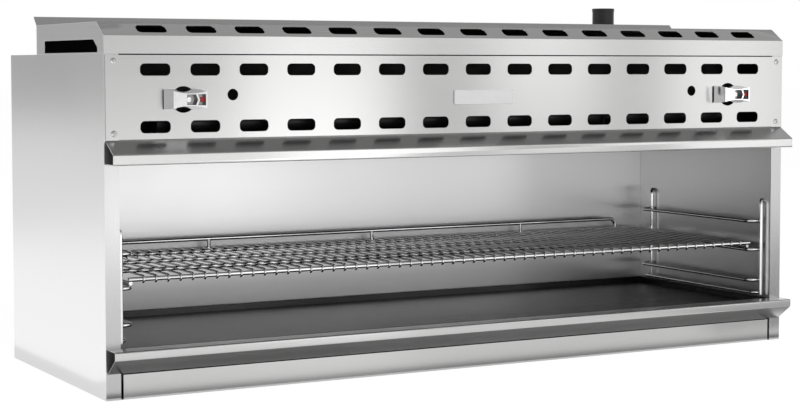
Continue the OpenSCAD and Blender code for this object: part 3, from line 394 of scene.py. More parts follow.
@dataclass(frozen=True)
class HotSteel(Finish):
    """Steel that the burners have tinted and baked."""

    cool: Colour = (0.5, 0.49, 0.47)
    hot: Colour = (0.33, 0.27, 0.2)
    roughness: float = 0.34
    roughness_rise: float = 0.14
    cool_height: float = 0.2
    hot_height: float = 0.45
    cloud_scale: float = 9.0
    least_baked: float = 0.6
    scale_depth: float = 0.05 * MM

    def coat(self, surface: Surface) -> None:
        """Sets the shader: the heat and its patches tint it."""
        heat = surface.use(surface.effects.heat, Cool_Height=self.cool_height, Hot_Height=self.hot_height)
        clouds = surface.patches(self.cloud_scale)
        baked = surface.math("MULTIPLY", heat, surface.ramp(clouds, self.least_baked, 1.0))
        surface.set(Base_Color=surface.blend(baked, self.cool, self.hot), Metallic=1.0,
                    Roughness=surface.ramp(clouds, self.roughness, self.roughness + self.roughness_rise),
                    Normal=surface.bump(clouds, self.scale_depth))


@dataclass(frozen=True)
class Plating(Finish):
    """Chrome or zinc plating with a faint unevenness, and a painted shade that may darken faces that look
    down.
    """

    tone: Colour = (0.8, 0.8, 0.81)
    shade: Colour = (0.68, 0.68, 0.7)
    painted_underside_shade: Colour | None = None
    roughness: float = 0.1
    roughness_rise: float = 0.15
    wave_scale: float = 60.0
    wave_depth: float = 0.01 * MM
    wave_share: float = 0.5
    scratch_density: float = 0.3
    underside_shade_turn: Span = (-0.45, -0.05)

    def coat(self, surface: Surface) -> None:
        """Sets the shader: waves and scratches wear it, and faces that look down may get a painted shade.
        """
        clouds = surface.patches(self.wave_scale)
        scratches = surface.use(surface.effects.scratches, Density=self.scratch_density)
        worn = surface.math("MAXIMUM", surface.math("MULTIPLY", clouds, self.wave_share), scratches)
        colour = surface.blend(worn, self.tone, self.shade)
        # Painted shade: faces that look down are darkened towards a near-black underside colour.
        if self.painted_underside_shade:
            normal = surface.add("ShaderNodeNewGeometry").outputs["Normal"]
            upward = surface.spread(surface.parts(normal)["Z"], *self.underside_shade_turn)
            colour = surface.blend(upward, self.painted_underside_shade, colour)
        surface.set(Base_Color=colour, Metallic=1.0,
                    Roughness=surface.ramp(worn, self.roughness, self.roughness + self.roughness_rise),
                    Normal=surface.bump(clouds, self.wave_depth))


@dataclass(frozen=True)
class CastMetal(Finish):
    """Cast or rolled metal with a grainy skin."""

    tone: Colour
    shade: Colour
    metallic: float = 0.6
    roughness: float = 0.5
    pit_scale: float = 900.0
    pit_depth: float = 0.12 * MM
    cloud_scale: float = 22.0
    cloud_contrast: float = 0.6
    cloud_share: float = 0.5
    dull_rise: float = 0.12
    bright_drop: float = 0.08

    def coat(self, surface: Surface) -> None:
        """Sets the shader: pits and clouds colour it, and its dark places are rougher."""
        pits = surface.noise(surface.place, self.pit_scale, detail=3.0, roughness=0.6)
        mixed = surface.mean(pits, surface.patches(self.cloud_scale, self.cloud_contrast), self.cloud_share)
        dull, bright = self.roughness + self.dull_rise, self.roughness - self.bright_drop
        surface.set(Base_Color=surface.blend(mixed, self.shade, self.tone), Metallic=self.metallic,
                    Roughness=surface.spread(mixed, *USUAL, dull, bright),
                    Normal=surface.bump(pits, self.pit_depth))


@dataclass(frozen=True)
class PiercedCeramic(Finish):
    """Burner tiles with rows of small burner ports."""

    tone: Colour = (0.78, 0.72, 0.62)
    scorched: Colour = (0.64, 0.55, 0.44)
    # The colour at each burner hole: painted shade.
    port_shade: Colour = (0.16, 0.12, 0.09)
    port_pitch: float = 2.6 * MM
    port_depth: float = 0.8 * MM
    port_rim: Span = (0.2, 0.3)
    roughness: Span = (0.8, 0.95)
    cloud_scale: float = 30.0

    def coat(self, surface: Surface) -> None:
        """Sets the shader: a painted shade in the middle of each cell stands for a burner hole."""
        feeds = {"Vector": surface.place, "Scale": 1.0 / self.port_pitch, "Randomness": 0.0}
        cells = surface.add("ShaderNodeTexVoronoi", feeds, voronoi_dimensions="2D")
        rim = surface.spread(cells.outputs["Distance"], *self.port_rim)
        clouds = surface.patches(self.cloud_scale)
        body = surface.blend(clouds, self.tone, self.scorched)
        # Painted shade: each cell's middle is coloured dark to stand for a burner hole.
        surface.set(Base_Color=surface.blend(rim, self.port_shade, body),
                    Normal=surface.bump(rim, self.port_depth),
                    Roughness=surface.ramp(clouds, *self.roughness))


@dataclass(frozen=True)
class MineralWool(Finish):
    """Insulation with felted fibres."""

    tone: Colour = (0.62, 0.56, 0.4)
    shade: Colour = (0.42, 0.36, 0.24)
    roughness: Span = (0.85, 1.0)
    fibre_density: Point = (300.0, 900.0, 500.0)
    coarse_share: float = 0.5
    tuft_scale: float = 60.0
    tuft_contrast: float = 0.7
    tuft_weight: Span = (0.7, 1.3)
    tuft_depth: float = 0.8 * MM

    def coat(self, surface: Surface) -> None:
        """Sets the shader: fibres in tufts."""
        fibres = surface.use(surface.effects.grain, Stretch=self.fibre_density,
                             Coarse_Share=self.coarse_share)
        tufts = surface.patches(self.tuft_scale, self.tuft_contrast)
        mixed = surface.math("MULTIPLY", fibres, surface.ramp(tufts, *self.tuft_weight))
        surface.set(Base_Color=surface.blend(mixed, self.shade, self.tone),
                    Roughness=surface.ramp(tufts, *self.roughness),
                    Normal=surface.bump(mixed, self.tuft_depth))


@dataclass(frozen=True)
class MouldedPlastic(Finish):
    """Satin plastic or lacquer with a fine skin."""

    tone: Colour
    shade: Colour
    roughness: float = 0.35
    metallic: float = 0.0
    roughness_rise: float = 0.1
    skin_scale: float = 2600.0
    skin_depth: float = 0.006 * MM
    cloud_scale: float = 45.0

    def coat(self, surface: Surface) -> None:
        """Sets the shader: soft patches over an even skin."""
        clouds = surface.patches(self.cloud_scale)
        surface.set(Base_Color=surface.blend(clouds, self.tone, self.shade), Metallic=self.metallic,
                    Roughness=surface.ramp(clouds, self.roughness, self.roughness + self.roughness_rise),
                    Normal=surface.bump(surface.noise(surface.place, self.skin_scale), self.skin_depth))


# ---- Geometry node trees ----


class GeometryTree(Graph):
    """One geometry node tree with named inputs."""

    def __init__(self, name: str) -> None:
        """Starts the tree by that name."""
        super().__init__(bpy.data.node_groups.new(name, "GeometryNodeTree"))
        for way in ("INPUT", "OUTPUT"):
            self.tree.interface.new_socket("Geometry", in_out=way, socket_type="NodeSocketGeometry")
        self.source = self.add("NodeGroupInput")
        self.target = self.add("NodeGroupOutput")
        self.identifiers: dict[str, str] = {}

    def size(self, name: str, kind: str = "Float") -> Socket:
        """Adds a named input (Float, Int, Vector or Object), and returns the socket of its value."""
        socket = self.tree.interface.new_socket(name, in_out="INPUT", socket_type=f"NodeSocket{kind}")
        self.identifiers[name] = socket.identifier
        return self.source.outputs[name]

    def tube(self, path: Any, sides: Any, radius: Any) -> Socket:
        """Sweeps a round profile along a curve, and closes the tube at both ends."""
        profile = self.out("GeometryNodeCurvePrimitiveCircle", {"Resolution": sides, "Radius": radius})
        return self.out("GeometryNodeCurveToMesh", {
            "Curve": path, "Profile Curve": profile, "Fill Caps": True})

    def copies(self, points: Any, instance: Any, material: Material, **more: Any) -> None:
        """Ends the tree with a copy of a shape on each point; more goes to the instances' node."""
        self.close(self.out("GeometryNodeInstanceOnPoints", {
            "Points": points, "Instance": instance, **more}), material)

    def close(self, geometry: Socket, material: Material) -> None:
        """Ends the tree with real, smooth geometry that wears the material."""
        real = self.out("GeometryNodeRealizeInstances", {0: geometry})
        smooth = self.out("GeometryNodeSetShadeSmooth", {"Geometry": real})
        coat = self.out("GeometryNodeSetMaterial", {"Geometry": smooth, "Material": material})
        self.feed(self.target.inputs[0], coat)

    def grow(self, name: str, points: Sequence[Point], values: dict[str, Any]) -> Thing:
        """Runs the tree and keeps its result as a plain mesh.

        Args:
            name: The new piece's name.
            points: The vertices of the mesh that the tree starts from.
            values: The named inputs' values.

        Returns:
            The new piece.
        """
        seed = bpy.data.meshes.new(f"{name}_points")
        seed.from_pydata(points, [], [])
        obj = added(name, seed)
        modifier = obj.modifiers.new(name, "NODES")
        modifier.node_group = self.tree
        for label, value in values.items():
            modifier[self.identifiers[label]] = value
        return settle(obj)


def settle(obj: Thing) -> Thing:
    """Turns an object with modifiers into the plain mesh that they make, and returns it."""
    graph = bpy.context.evaluated_depsgraph_get()
    graph.update()
    mesh = bpy.data.meshes.new_from_object(
        obj.evaluated_get(graph), preserve_all_data_layers=True, depsgraph=graph)
    obj.modifiers.clear()
    spare = obj.data
    obj.data = mesh
    mesh.name = obj.name
    bpy.data.meshes.remove(spare)
    return obj


# ---- The shop ----


@dataclass(frozen=True)
class Fold:
    """How a piece's edges are broken.

    Attributes:
        width: The width of the broken edge, in metres.
        segments: The number of facets across it.
        angle: The least angle of an edge that is broken, in degrees.
    """

    width: float = 0.4 * MM
    segments: int = 2
    angle: float = 28.0


# The folds of the bent trims, whose round bends aren't broken
TRIM_FOLD = Fold(0.5 * MM, 3, 40.0)


def looks_inward(normal: Vector, middle: Vector) -> bool:
    """Whether a face looks from its side towards the melter's middle."""
    return normal.x * middle.x < -FACING * abs(middle.x)


def looks_sideways(normal: Vector, middle: Vector) -> bool:
    """Whether a face looks to the left or the right."""
    return abs(normal.x) > FACING


@dataclass
class Shop:
    """Keeps the finishes and hands pieces to the frame."""

    effects: Effects = field(default_factory=Effects)
    finishes: dict[str, Material] = field(default_factory=dict)

    def stock(self, *finishes: Finish) -> None:
        """Builds finishes and keeps them by name."""
        for finish in finishes:
            self.finishes[finish.name] = finish.build(self.effects)

    def dress(self, finish: str, *nodes: str) -> None:
        """Gives CAD nodes the finish by that name."""
        for node in nodes:
            for slot in bpy.data.objects[node].material_slots:
                slot.material = self.finishes[finish]
            LOG.info("%s wears %s", node, finish)

    def keep(self, obj: Thing, body: Body, slot: Slot, *nodes: str) -> None:
        """Hands a finished piece to the frame.

        Args:
            obj: The piece.
            body: The body that it rides on.
            slot: The record's material slot; not used.
            *nodes: The CAD nodes that it stands for.
        """
        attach(obj, body.value)
        if nodes:
            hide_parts(*nodes)
        LOG.info("%s: %d faces on %s", obj.name, len(obj.data.polygons), body.value)

    @staticmethod
    def merged(node: str) -> Thing:
        """Copies a CAD node's mesh, with its loose triangles joined into flat faces."""
        work = bmesh.new()
        work.from_mesh(bpy.data.objects[node].data)
        bmesh.ops.remove_doubles(work, verts=work.verts, dist=SAME_PLACE)
        bmesh.ops.dissolve_limit(work, angle_limit=SAME_PLANE, verts=work.verts, edges=work.edges)
        return shaped(f"{node}_worked", work)

    def refine(self, node: str, finish: str, fold: Fold = Fold(), others: dict[str, FaceTest] | None = None,
               edge: str | None = None, body: Body = Body.CABINET, slot: Slot = Slot.STEEL) -> None:
        """Replaces a CAD node by a copy with broken, shaded edges.

        Args:
            node: The CAD node.
            finish: The finish's name.
            fold: How its edges are broken.
            others: Other finishes, each with a test of a face's normal and middle.
            edge: The finish of the broken edges, where they have their own.
            body: The body that it rides on.
            slot: The record's material slot.
        """
        others = others or {}
        obj = self.merged(node)
        for name in (finish, *others, *([edge] if edge else [])):
            obj.data.materials.append(self.finishes[name])
        for polygon in obj.data.polygons:
            polygon.use_smooth = True
            for index, fits in enumerate(others.values(), 1):
                if fits(polygon.normal, polygon.center):
                    polygon.material_index = index
        bevel = obj.modifiers.new("fold", "BEVEL")
        bevel.width = fold.width
        bevel.segments = fold.segments
        bevel.limit_method = "ANGLE"
        bevel.angle_limit = math.radians(fold.angle)
        bevel.use_clamp_overlap = True
        if edge:
            bevel.material = len(obj.data.materials) - 1
        flat = obj.modifiers.new("flat", "WEIGHTED_NORMAL")
        flat.mode = "FACE_AREA"
        flat.weight = 100
        self.keep(settle(obj), body, slot, node)


# ---- Sub-assemblies ----


@dataclass
class Cabinet:
    """The outer sheets, the linings and what lies between them."""

    shop: Shop
    sheet_fold: Fold = Fold(0.6 * MM, 3)

    def make(self) -> None:
        """Makes the cabinet's pieces in order."""
        self.walls()
        self.linings()
        self.insides()

    def walls(self) -> None:
        """Makes the outer sheets, with the side panels brushed from front to back."""
        refine = self.shop.refine
        # The side panels' inward faces wear a near-black painted shade, and their broken edges a pale
        # painted highlight.
        for hand in HANDS:
            refine(f"{hand}_side_panel", "side_steel", self.sheet_fold, {
                "flange_steel": lambda normal, middle: abs(normal.y) > FACING,
                "sooted_steel": looks_inward}, "fold_steel")
        hood_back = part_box("left_hood_end")[1][1]
        # The top deck's front part and the rear panel's inward faces wear a near-black painted shade.
        refine("top_deck", "sheet_steel", self.sheet_fold, {
            "sooted_steel": lambda normal, middle: middle.y < hood_back / 2})
        refine("rear_panel", "sheet_steel", self.sheet_fold, {
            "sooted_steel": lambda normal, middle: normal.y < -FACING})
        for node in ("kick_panel", "base_pan"):
            refine(node, "sheet_steel", self.sheet_fold)

    def linings(self) -> None:
        """Makes the compartment's sheets."""
        for hand in HANDS:
            self.shop.refine(f"{hand}_liner", "side_liner_steel")
        self.shop.refine("rear_liner", "liner_steel")
        # The ceiling wears near-black steel: soot with painted shade.
        self.shop.refine("ceiling_panel", "sooted_steel")

    def insides(self) -> None:
        """Dresses what lies between the sheets."""
        self.shop.dress("wool", "side_insulation", "rear_insulation")
        self.shop.dress("sheet_steel", "pan_rails")
        # The heat shield and the manifold brackets wear near-black steel: soot with painted shade.
        self.shop.dress("sooted_steel", "heat_shield", "manifold_brackets")


@dataclass(frozen=True)
class Screw:
    """A round-headed screw with a cross recess: its sizes, and the recess's shares of its head."""

    head_radius: float = 4.5 * MM
    head_height: float = 2 * MM
    shank_radius: float = 2.1 * MM
    sides: int = 16
    head_steps: int = 4
    recess_reach: float = 0.55
    recess_half: float = 0.13
    recess_floor: float = 0.45
    recess_taper: float = 0.8

    def make(self, length: float) -> Thing:
        """Builds the screw, whose shank of that length points along -Z, for the screws' tree to repeat."""
        work = bmesh.new()
        profile = [(self.shank_radius, -length), (self.shank_radius, 0.0)]
        for step in range(self.head_steps):
            rise = math.pi / 2 * step / self.head_steps
            profile.append((self.head_radius * math.cos(rise), self.head_height * math.sin(rise)))
        turns = [math.tau * k / self.sides for k in range(self.sides)]
        rings = [[work.verts.new((radius * math.cos(turn), radius * math.sin(turn), z)) for turn in turns]
                 for radius, z in profile]
        for low, high in zip(rings, rings[1:]):
            self.join(work, low, high)
        work.faces.new(rings[0][::-1])
        reach, half = self.recess_reach * self.head_radius, self.recess_half * self.head_radius
        arm = [Vector((half, -half, 0)), Vector((reach, -half, 0)), Vector((reach, half, 0))]
        spins = [Matrix.Rotation(turn * math.pi / 2, 3, "Z") for turn in range(4)]
        outline = [spin @ corner for spin in spins for corner in arm]
        rim = [work.verts.new((p.x, p.y, self.head_height)) for p in outline]
        floor, taper = self.recess_floor * self.head_height, self.recess_taper
        bottom = [work.verts.new((p.x * taper, p.y * taper, floor)) for p in outline]
        self.join(work, rim, bottom)
        work.faces.new(bottom)
        pairs = [pair for loop in (rings[-1], rim) for pair in zip(loop, loop[1:] + loop[:1])]
        bmesh.ops.bridge_loops(work, edges=[work.edges.get(pair) or work.edges.new(pair) for pair in pairs])
        bmesh.ops.recalc_face_normals(work, faces=work.faces)
        return shaped("screw_shape", work)

    @staticmethod
    def join(work: bmesh.types.BMesh, low: list[Any], high: list[Any]) -> None:
        """Joins two loops of as many vertices with a band of faces."""
        for a, b, c, d in zip(low, low[1:] + low[:1], high[1:] + high[:1], high):
            work.faces.new((a, b, c, d))


@dataclass
class Front:
    """The control panel, its badge plate, the visor and all the sheet screws."""

    shop: Shop
    screw: Screw = Screw()
    screw_inset: float = 13.9 * MM
    screw_edge: float = 8.5 * MM
    rear_inset: float = 8.2 * MM
    rear_edge: float = 40 * MM
    burner_inset: Point = (36 * MM, 5.5 * MM, 1.5 * MM)
    shank_length: float = 8 * MM
    burner_shank: float = 3.9 * MM

    def make(self) -> None:
        """Makes the front's pieces in order."""
        refine = self.shop.refine
        # The panel's back faces wear a near-black painted shade; the panel's and the visor's broken edges
        # wear a pale painted highlight.
        refine("control_panel", "panel_steel", Fold(0.35 * MM), {
            "sooted_steel": lambda normal, middle: normal.y > FACING}, "fold_steel")
        refine("upper_visor", "trim_steel", TRIM_FOLD, edge="fold_steel", slot=Slot.BRIGHT_STEEL)
        refine("badge_plate", "badge", Fold(0.4 * MM, 3), slot=Slot.BADGE)
        self.screws()

    def screw_tree(self) -> GeometryTree:
        """Builds the tree that sets a screw on each point."""
        tree = GeometryTree("screws_on_points")
        shape = tree.add("GeometryNodeObjectInfo", {"Object": tree.size("Screw", "Object")})
        tree.copies(tree.source.outputs["Geometry"], shape.outputs["Geometry"],
                    self.shop.finishes["plated"], Rotation=tree.size("Turn", "Vector"))
        return tree

    def screws(self) -> None:
        """Sets the panel's, the rear's and the burners' screws."""
        tree = self.screw_tree()
        panel_low, panel_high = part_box("control_panel")
        rear_low, rear_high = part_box("rear_panel")
        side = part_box("right_side_panel")[1][0]
        front = [(s * (side - self.screw_inset), panel_low[1], z) for s in (-1, 1)
                 for z in (panel_low[2] + self.screw_edge, panel_high[2] - self.screw_edge)]
        rear = [(s * (side - self.rear_inset), rear_high[1], z) for s in (-1, 1)
                for z in (self.rear_edge, rear_high[2] / 2, rear_high[2] - self.rear_edge)]
        burner = []
        inset = self.burner_inset
        for hand in HANDS:
            low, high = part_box(f"{hand}_burner_body")
            burner += [(x, y, low[2] + inset[2]) for x in (low[0] + inset[0], high[0] - inset[0])
                       for y in (low[1] + inset[1], high[1] - inset[1])]
        sets = (("panel_screws", front, math.pi / 2, self.shank_length),
                ("rear_screws", rear, -math.pi / 2, self.shank_length),
                ("burner_screws", burner, 0.0, self.burner_shank))
        for name, points, tilt, length in sets:
            shape = self.screw.make(length)
            piece = tree.grow(name, points, {"Screw": shape, "Turn": (tilt, 0.0, 0.0)})
            self.shop.keep(piece, Body.CABINET, Slot.PLATED, "sheet_screws")
            bpy.data.objects.remove(shape)


@dataclass
class Hood:
    """The pierced flue hood over the burners."""

    shop: Shop
    fold: Fold = Fold(1.1 * MM, 3, 40.0)

    def make(self) -> None:
        """Makes the hood's sheet and its ends."""
        low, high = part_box("left_hood_end")
        heart = (Vector(low) + Vector(high)) / 2

        def looks_down(normal: Vector, middle: Vector) -> bool:
            """Whether a face of the cover looks into the hood."""
            return middle.z < high[2] and normal.yz.dot((middle - heart).yz) < 0

        # The cover's inside faces and the ends' inward faces wear a near-black painted shade; the cover's
        # side faces and broken edges wear a pale painted highlight.
        self.shop.refine("hood_cover", "hood_steel", self.fold, {
            "sooted_steel": looks_down, "fold_steel": looks_sideways}, "fold_steel")
        for hand in HANDS:
            self.shop.refine(f"{hand}_hood_end", "side_steel", others={"sooted_steel": looks_inward})


@dataclass
class Burners:
    """The two infra-red burners with their mixing tubes and spuds."""

    shop: Shop

    def make(self) -> None:
        """Dresses both burners."""
        for hand in HANDS:
            self.shop.dress("cast_iron", f"{hand}_burner_body", f"{hand}_mixing_tube")
            self.shop.dress("ceramic", f"{hand}_burner_tiles")
            self.shop.dress("burnt_steel", f"{hand}_burner_screen", f"{hand}_air_shutter")
            self.shop.dress("brass", f"{hand}_orifice")


@dataclass
class GasTrain:
    """The inlet, the pipes, the regulator, the manifold and the pilots."""

    shop: Shop
    thread_turns: float = 11.0
    thread_pitch: float = 1.8 * MM
    thread_radius: float = 12.3 * MM
    thread_ridge: float = 0.75 * MM
    thread_sides: int = 4
    thread_drop: float = 0.4 * MM
    turn_steps: int = 32

    def make(self) -> None:
        """Makes the train's pieces."""
        shop = self.shop
        shop.refine("gas_inlet_coupling", "black_pipe", Fold(0.7 * MM), slot=Slot.BLACK_PIPE)
        shop.dress("black_pipe", "supply_pipes", "pipe_elbows", "gas_manifold", "manifold_caps")
        shop.dress("regulator_grey", "pressure_regulator")
        # The pilot and gas valves wear brass coloured near black.
        shop.dress("sooted_brass", "pilot_valves", "left_gas_valve", "right_gas_valve")
        shop.dress("aluminium", "pilot_tubes")
        shop.dress("burnt_steel", "pilot_burners")
        self.thread()

    def thread(self) -> None:
        """Winds the pipe thread inside the inlet's mouth."""
        low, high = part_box("gas_inlet_coupling")
        tree = GeometryTree("wound_thread")
        radius = tree.size("Radius")
        spiral = tree.out("GeometryNodeCurveSpiral", {
            "Resolution": self.turn_steps, "Rotations": tree.size("Turns"), "Start Radius": radius,
            "End Radius": radius, "Height": tree.size("Length")})
        wound = tree.tube(spiral, tree.size("Sides", "Int"), tree.size("Ridge"))
        moved = tree.out("GeometryNodeTransform", {
            "Geometry": wound, "Translation": tree.size("Foot", "Vector")})
        tree.close(moved, self.shop.finishes["black_pipe"])
        length = self.thread_turns * self.thread_pitch
        foot = ((low[0] + high[0]) / 2, (low[1] + high[1]) / 2, high[2] - length - self.thread_drop)
        piece = tree.grow("inlet_thread", [], {
            "Turns": self.thread_turns, "Radius": self.thread_radius, "Ridge": self.thread_ridge,
            "Length": length - self.thread_ridge, "Sides": self.thread_sides, "Foot": foot})
        self.shop.keep(piece, Body.CABINET, Slot.BLACK_PIPE)


@dataclass
class ValveSet:
    """A gas valve's stem, lever, insert and screw, which turn together."""

    shop: Shop
    hand: str
    body: Body
    pocket_depth: float = 7 * MM
    pocket_half: float = 8.5 * MM
    pocket_start: float = 5.5 * MM
    lip_depth: float = 0.2 * MM
    floor_slack: float = 0.5 * MM

    def in_pocket(self, normal: Vector, middle: Vector) -> bool:
        """Whether a face of the lever is a wall or the floor of its pocket."""
        depth = middle.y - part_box(f"{self.hand}_lever")[0][1]
        low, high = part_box(f"{self.hand}_valve_stem")
        return (self.lip_depth < depth < self.pocket_depth + self.floor_slack and normal.y < FACING
                and abs(middle.z - (low[2] + high[2]) / 2) < self.pocket_half
                and middle.x > (low[0] + high[0]) / 2 - self.pocket_start)

    def make(self) -> None:
        """Makes the turning pieces."""
        # The lever's pocket walls and floor wear a darker chrome: painted shade in the recess.
        pocket = {"lever_shade": self.in_pocket}
        for part, finish, slot, fold, others in (
                ("lever", "lever_chrome", Slot.CHROME, Fold(0.9 * MM, 3, 30.0), pocket),
                ("lever_insert", "red_plastic", Slot.RED_PLASTIC, Fold(0.5 * MM), None),
                ("lever_screw", "plated", Slot.PLATED, Fold(0.25 * MM), None)):
            self.shop.refine(f"{self.hand}_{part}", finish, fold, others, body=self.body, slot=slot)
        self.shop.dress("brass", f"{self.hand}_valve_stem")


@dataclass
class SpillPan:
    """The spill pan with its bullnose front."""

    shop: Shop

    def make(self) -> None:
        """Makes the pan and its front."""
        self.shop.refine("spill_pan", "pan_steel", Fold(0.5 * MM), body=Body.PAN, slot=Slot.HEAT_STEEL)
        # The bullnose's open ends wear a near-black painted shade, and its broken edges a pale painted
        # highlight.
        self.shop.refine("pan_bullnose", "trim_steel", TRIM_FOLD, {"sooted_steel": looks_sideways},
                         "fold_steel", Body.PAN, Slot.BRIGHT_STEEL)


@dataclass
class WireRack:
    """The wire rack, its cross rods, its guard rail and the guides that carry it."""

    shop: Shop
    wires: int = 58
    pitch: float = 19.05 * MM
    wire_radius: float = 1.5 * MM
    rod_radius: float = 3.175 * MM
    wrap_gap: float = 0.05 * MM
    wrap_steps: int = 6
    wire_sides: int = 8

    def make(self) -> None:
        """Dresses the rods and guides, and lays the wires."""
        self.shop.dress("rack_chrome", "rack_frame", "left_rack_guide", "right_rack_guide")
        self.lay_wires()

    def wire_tree(self) -> GeometryTree:
        """Builds the tree that bends one wire round both end rods and repeats it."""
        tree = GeometryTree("wires_round_rods")
        calc = tree.math
        count, steps, sides = (tree.size(name, "Int") for name in ("Count", "Steps", "Sides"))
        pitch, front, back = (tree.size(name) for name in ("Pitch", "Front", "Back"))
        rod_height, wrap, radius = (
            tree.size(name) for name in ("Rod Height", "Wrap Radius", "Wire Radius"))
        line = tree.out("GeometryNodeCurvePrimitiveLine")
        points = tree.out("GeometryNodeResampleCurve", {
            "Curve": line, "Count": calc("MULTIPLY_ADD", steps, 2.0, 2.0)})
        index = tree.out("GeometryNodeInputIndex")
        ring = calc("ADD", steps, 1.0)
        end = calc("FLOOR", calc("DIVIDE", index, ring))
        step = calc("SUBTRACT", index, calc("MULTIPLY", end, ring))
        turned = calc("ADD", end, calc("DIVIDE", step, steps))
        angle = calc("SUBTRACT", 1.5 * math.pi, calc("MULTIPLY", turned, math.pi))
        middle = calc("ADD", front, calc("MULTIPLY", end, calc("SUBTRACT", back, front)))
        y = calc("ADD", middle, calc("MULTIPLY", wrap, calc("COSINE", angle)))
        z = calc("ADD", rod_height, calc("MULTIPLY", wrap, calc("SINE", angle)))
        bent = tree.out("GeometryNodeSetPosition", {
            "Geometry": points, "Position": tree.vector(0.0, y, z)})
        wire = tree.tube(bent, sides, radius)
        start = calc("MULTIPLY", calc("SUBTRACT", count, 1.0), calc("MULTIPLY", pitch, -0.5))
        row = tree.out("GeometryNodeMeshLine", {
            "Count": count, "Offset": tree.vector(pitch, 0.0, 0.0),
            "Start Location": tree.vector(start, 0.0, 0.0)}, mode="OFFSET")
        tree.copies(row, wire, self.shop.finishes["rack_chrome"])
        return tree

    def lay_wires(self) -> None:
        """Lays the wires from the front rod to the rear one."""
        low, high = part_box("rack_wires")
        wrap = self.rod_radius + self.wire_radius + self.wrap_gap
        reach = wrap + self.wire_radius
        piece = self.wire_tree().grow("laid_wires", [], {
            "Count": self.wires, "Pitch": self.pitch, "Front": low[1] + reach, "Back": high[1] - reach,
            "Rod Height": high[2] - reach, "Wrap Radius": wrap, "Steps": self.wrap_steps,
            "Sides": self.wire_sides, "Wire Radius": self.wire_radius})
        self.shop.keep(piece, Body.RACK, Slot.CHROME, "rack_wires")


# ---- The photograph's studio ----


@dataclass(frozen=True)
class PhotoCamera:
    """The camera that the photograph was taken with, found from the cabinet's corners."""

    place: Point = (-1.4629, -2.6207, 0.4708)
    yaw: float = 0.5016
    pitch: float = -0.0546
    roll: float = -0.0002
    lens: float = 81.53
    sensor: float = 36.0
    rise_pixels: float = 39.45
    nearest: float = 0.05

    def make(self) -> None:
        """Adds the camera and makes it the scene's own."""
        data = bpy.data.cameras.new("photo_camera")
        data.lens = self.lens
        data.sensor_width = self.sensor
        data.sensor_fit = "HORIZONTAL"
        data.shift_y = -self.rise_pixels / IMAGE_WIDTH
        data.clip_start = self.nearest
        camera = added("photo_camera", data)
        turn = (Matrix.Rotation(-self.yaw, 3, "Z") @ Matrix.Rotation(math.pi / 2 + self.pitch, 3, "X")
                @ Matrix.Rotation(self.roll, 3, "Z"))
        camera.matrix_world = Matrix.Translation(self.place) @ turn.to_4x4()
        bpy.context.scene.camera = camera


@dataclass(frozen=True)
class Softbox:
    """A diffused lamp: its middle, size, target, its face's brightness and whether metal sees it."""

    name: str
    middle: Point
    width: float
    height: float
    target: Point
    brightness: float
    mirrored: bool = True

    def make(self) -> None:
        """Adds the lamp, out of the camera's sight."""
        data = bpy.data.lights.new(self.name, "AREA")
        data.shape = "RECTANGLE"
        data.size = self.width
        data.size_y = self.height
        data.energy = self.brightness * math.pi * self.width * self.height
        lamp = added(self.name, data)
        away = Vector(self.target) - Vector(self.middle)
        turn = away.to_track_quat("-Z", "Y").to_matrix()
        lamp.matrix_world = Matrix.Translation(self.middle) @ turn.to_4x4()
        lamp.visible_camera = False
        lamp.visible_glossy = self.mirrored


def front_box(name: str, x: float, z: float, width: float, height: float, brightness: float,
              distance: float = 2.0) -> Softbox:
    """A softbox at x and z that stands in front of the melter and shines straight back."""
    return Softbox(name, (x, -distance, z), width, height, (x, 0.0, z), brightness)


def sheet(name: str, corners: Sequence[Point], paint: Paint) -> Thing:
    """Makes a flat sheet for the stage, with its four corners in order and a paint."""
    mesh = bpy.data.meshes.new(name)
    mesh.from_pydata(corners, [], [(0, 1, 2, 3)])
    mesh.materials.append(paint.material)
    obj = added(name, mesh)
    return obj


@dataclass(frozen=True)
class Flag:
    """A cloth that only metal sees, so that it dims a reflection: its tone and its corners."""

    name: str
    tone: float
    corners: tuple[Point, Point, Point, Point]

    def make(self) -> None:
        """Hangs or lays the cloth."""
        cloth = Paint(f"{self.name}_cloth")
        cloth.set(Base_Color=grey(self.tone), Roughness=1.0)
        flag = sheet(self.name, self.corners, cloth)
        flag.visible_camera = False
        flag.visible_diffuse = False
        flag.visible_shadow = False


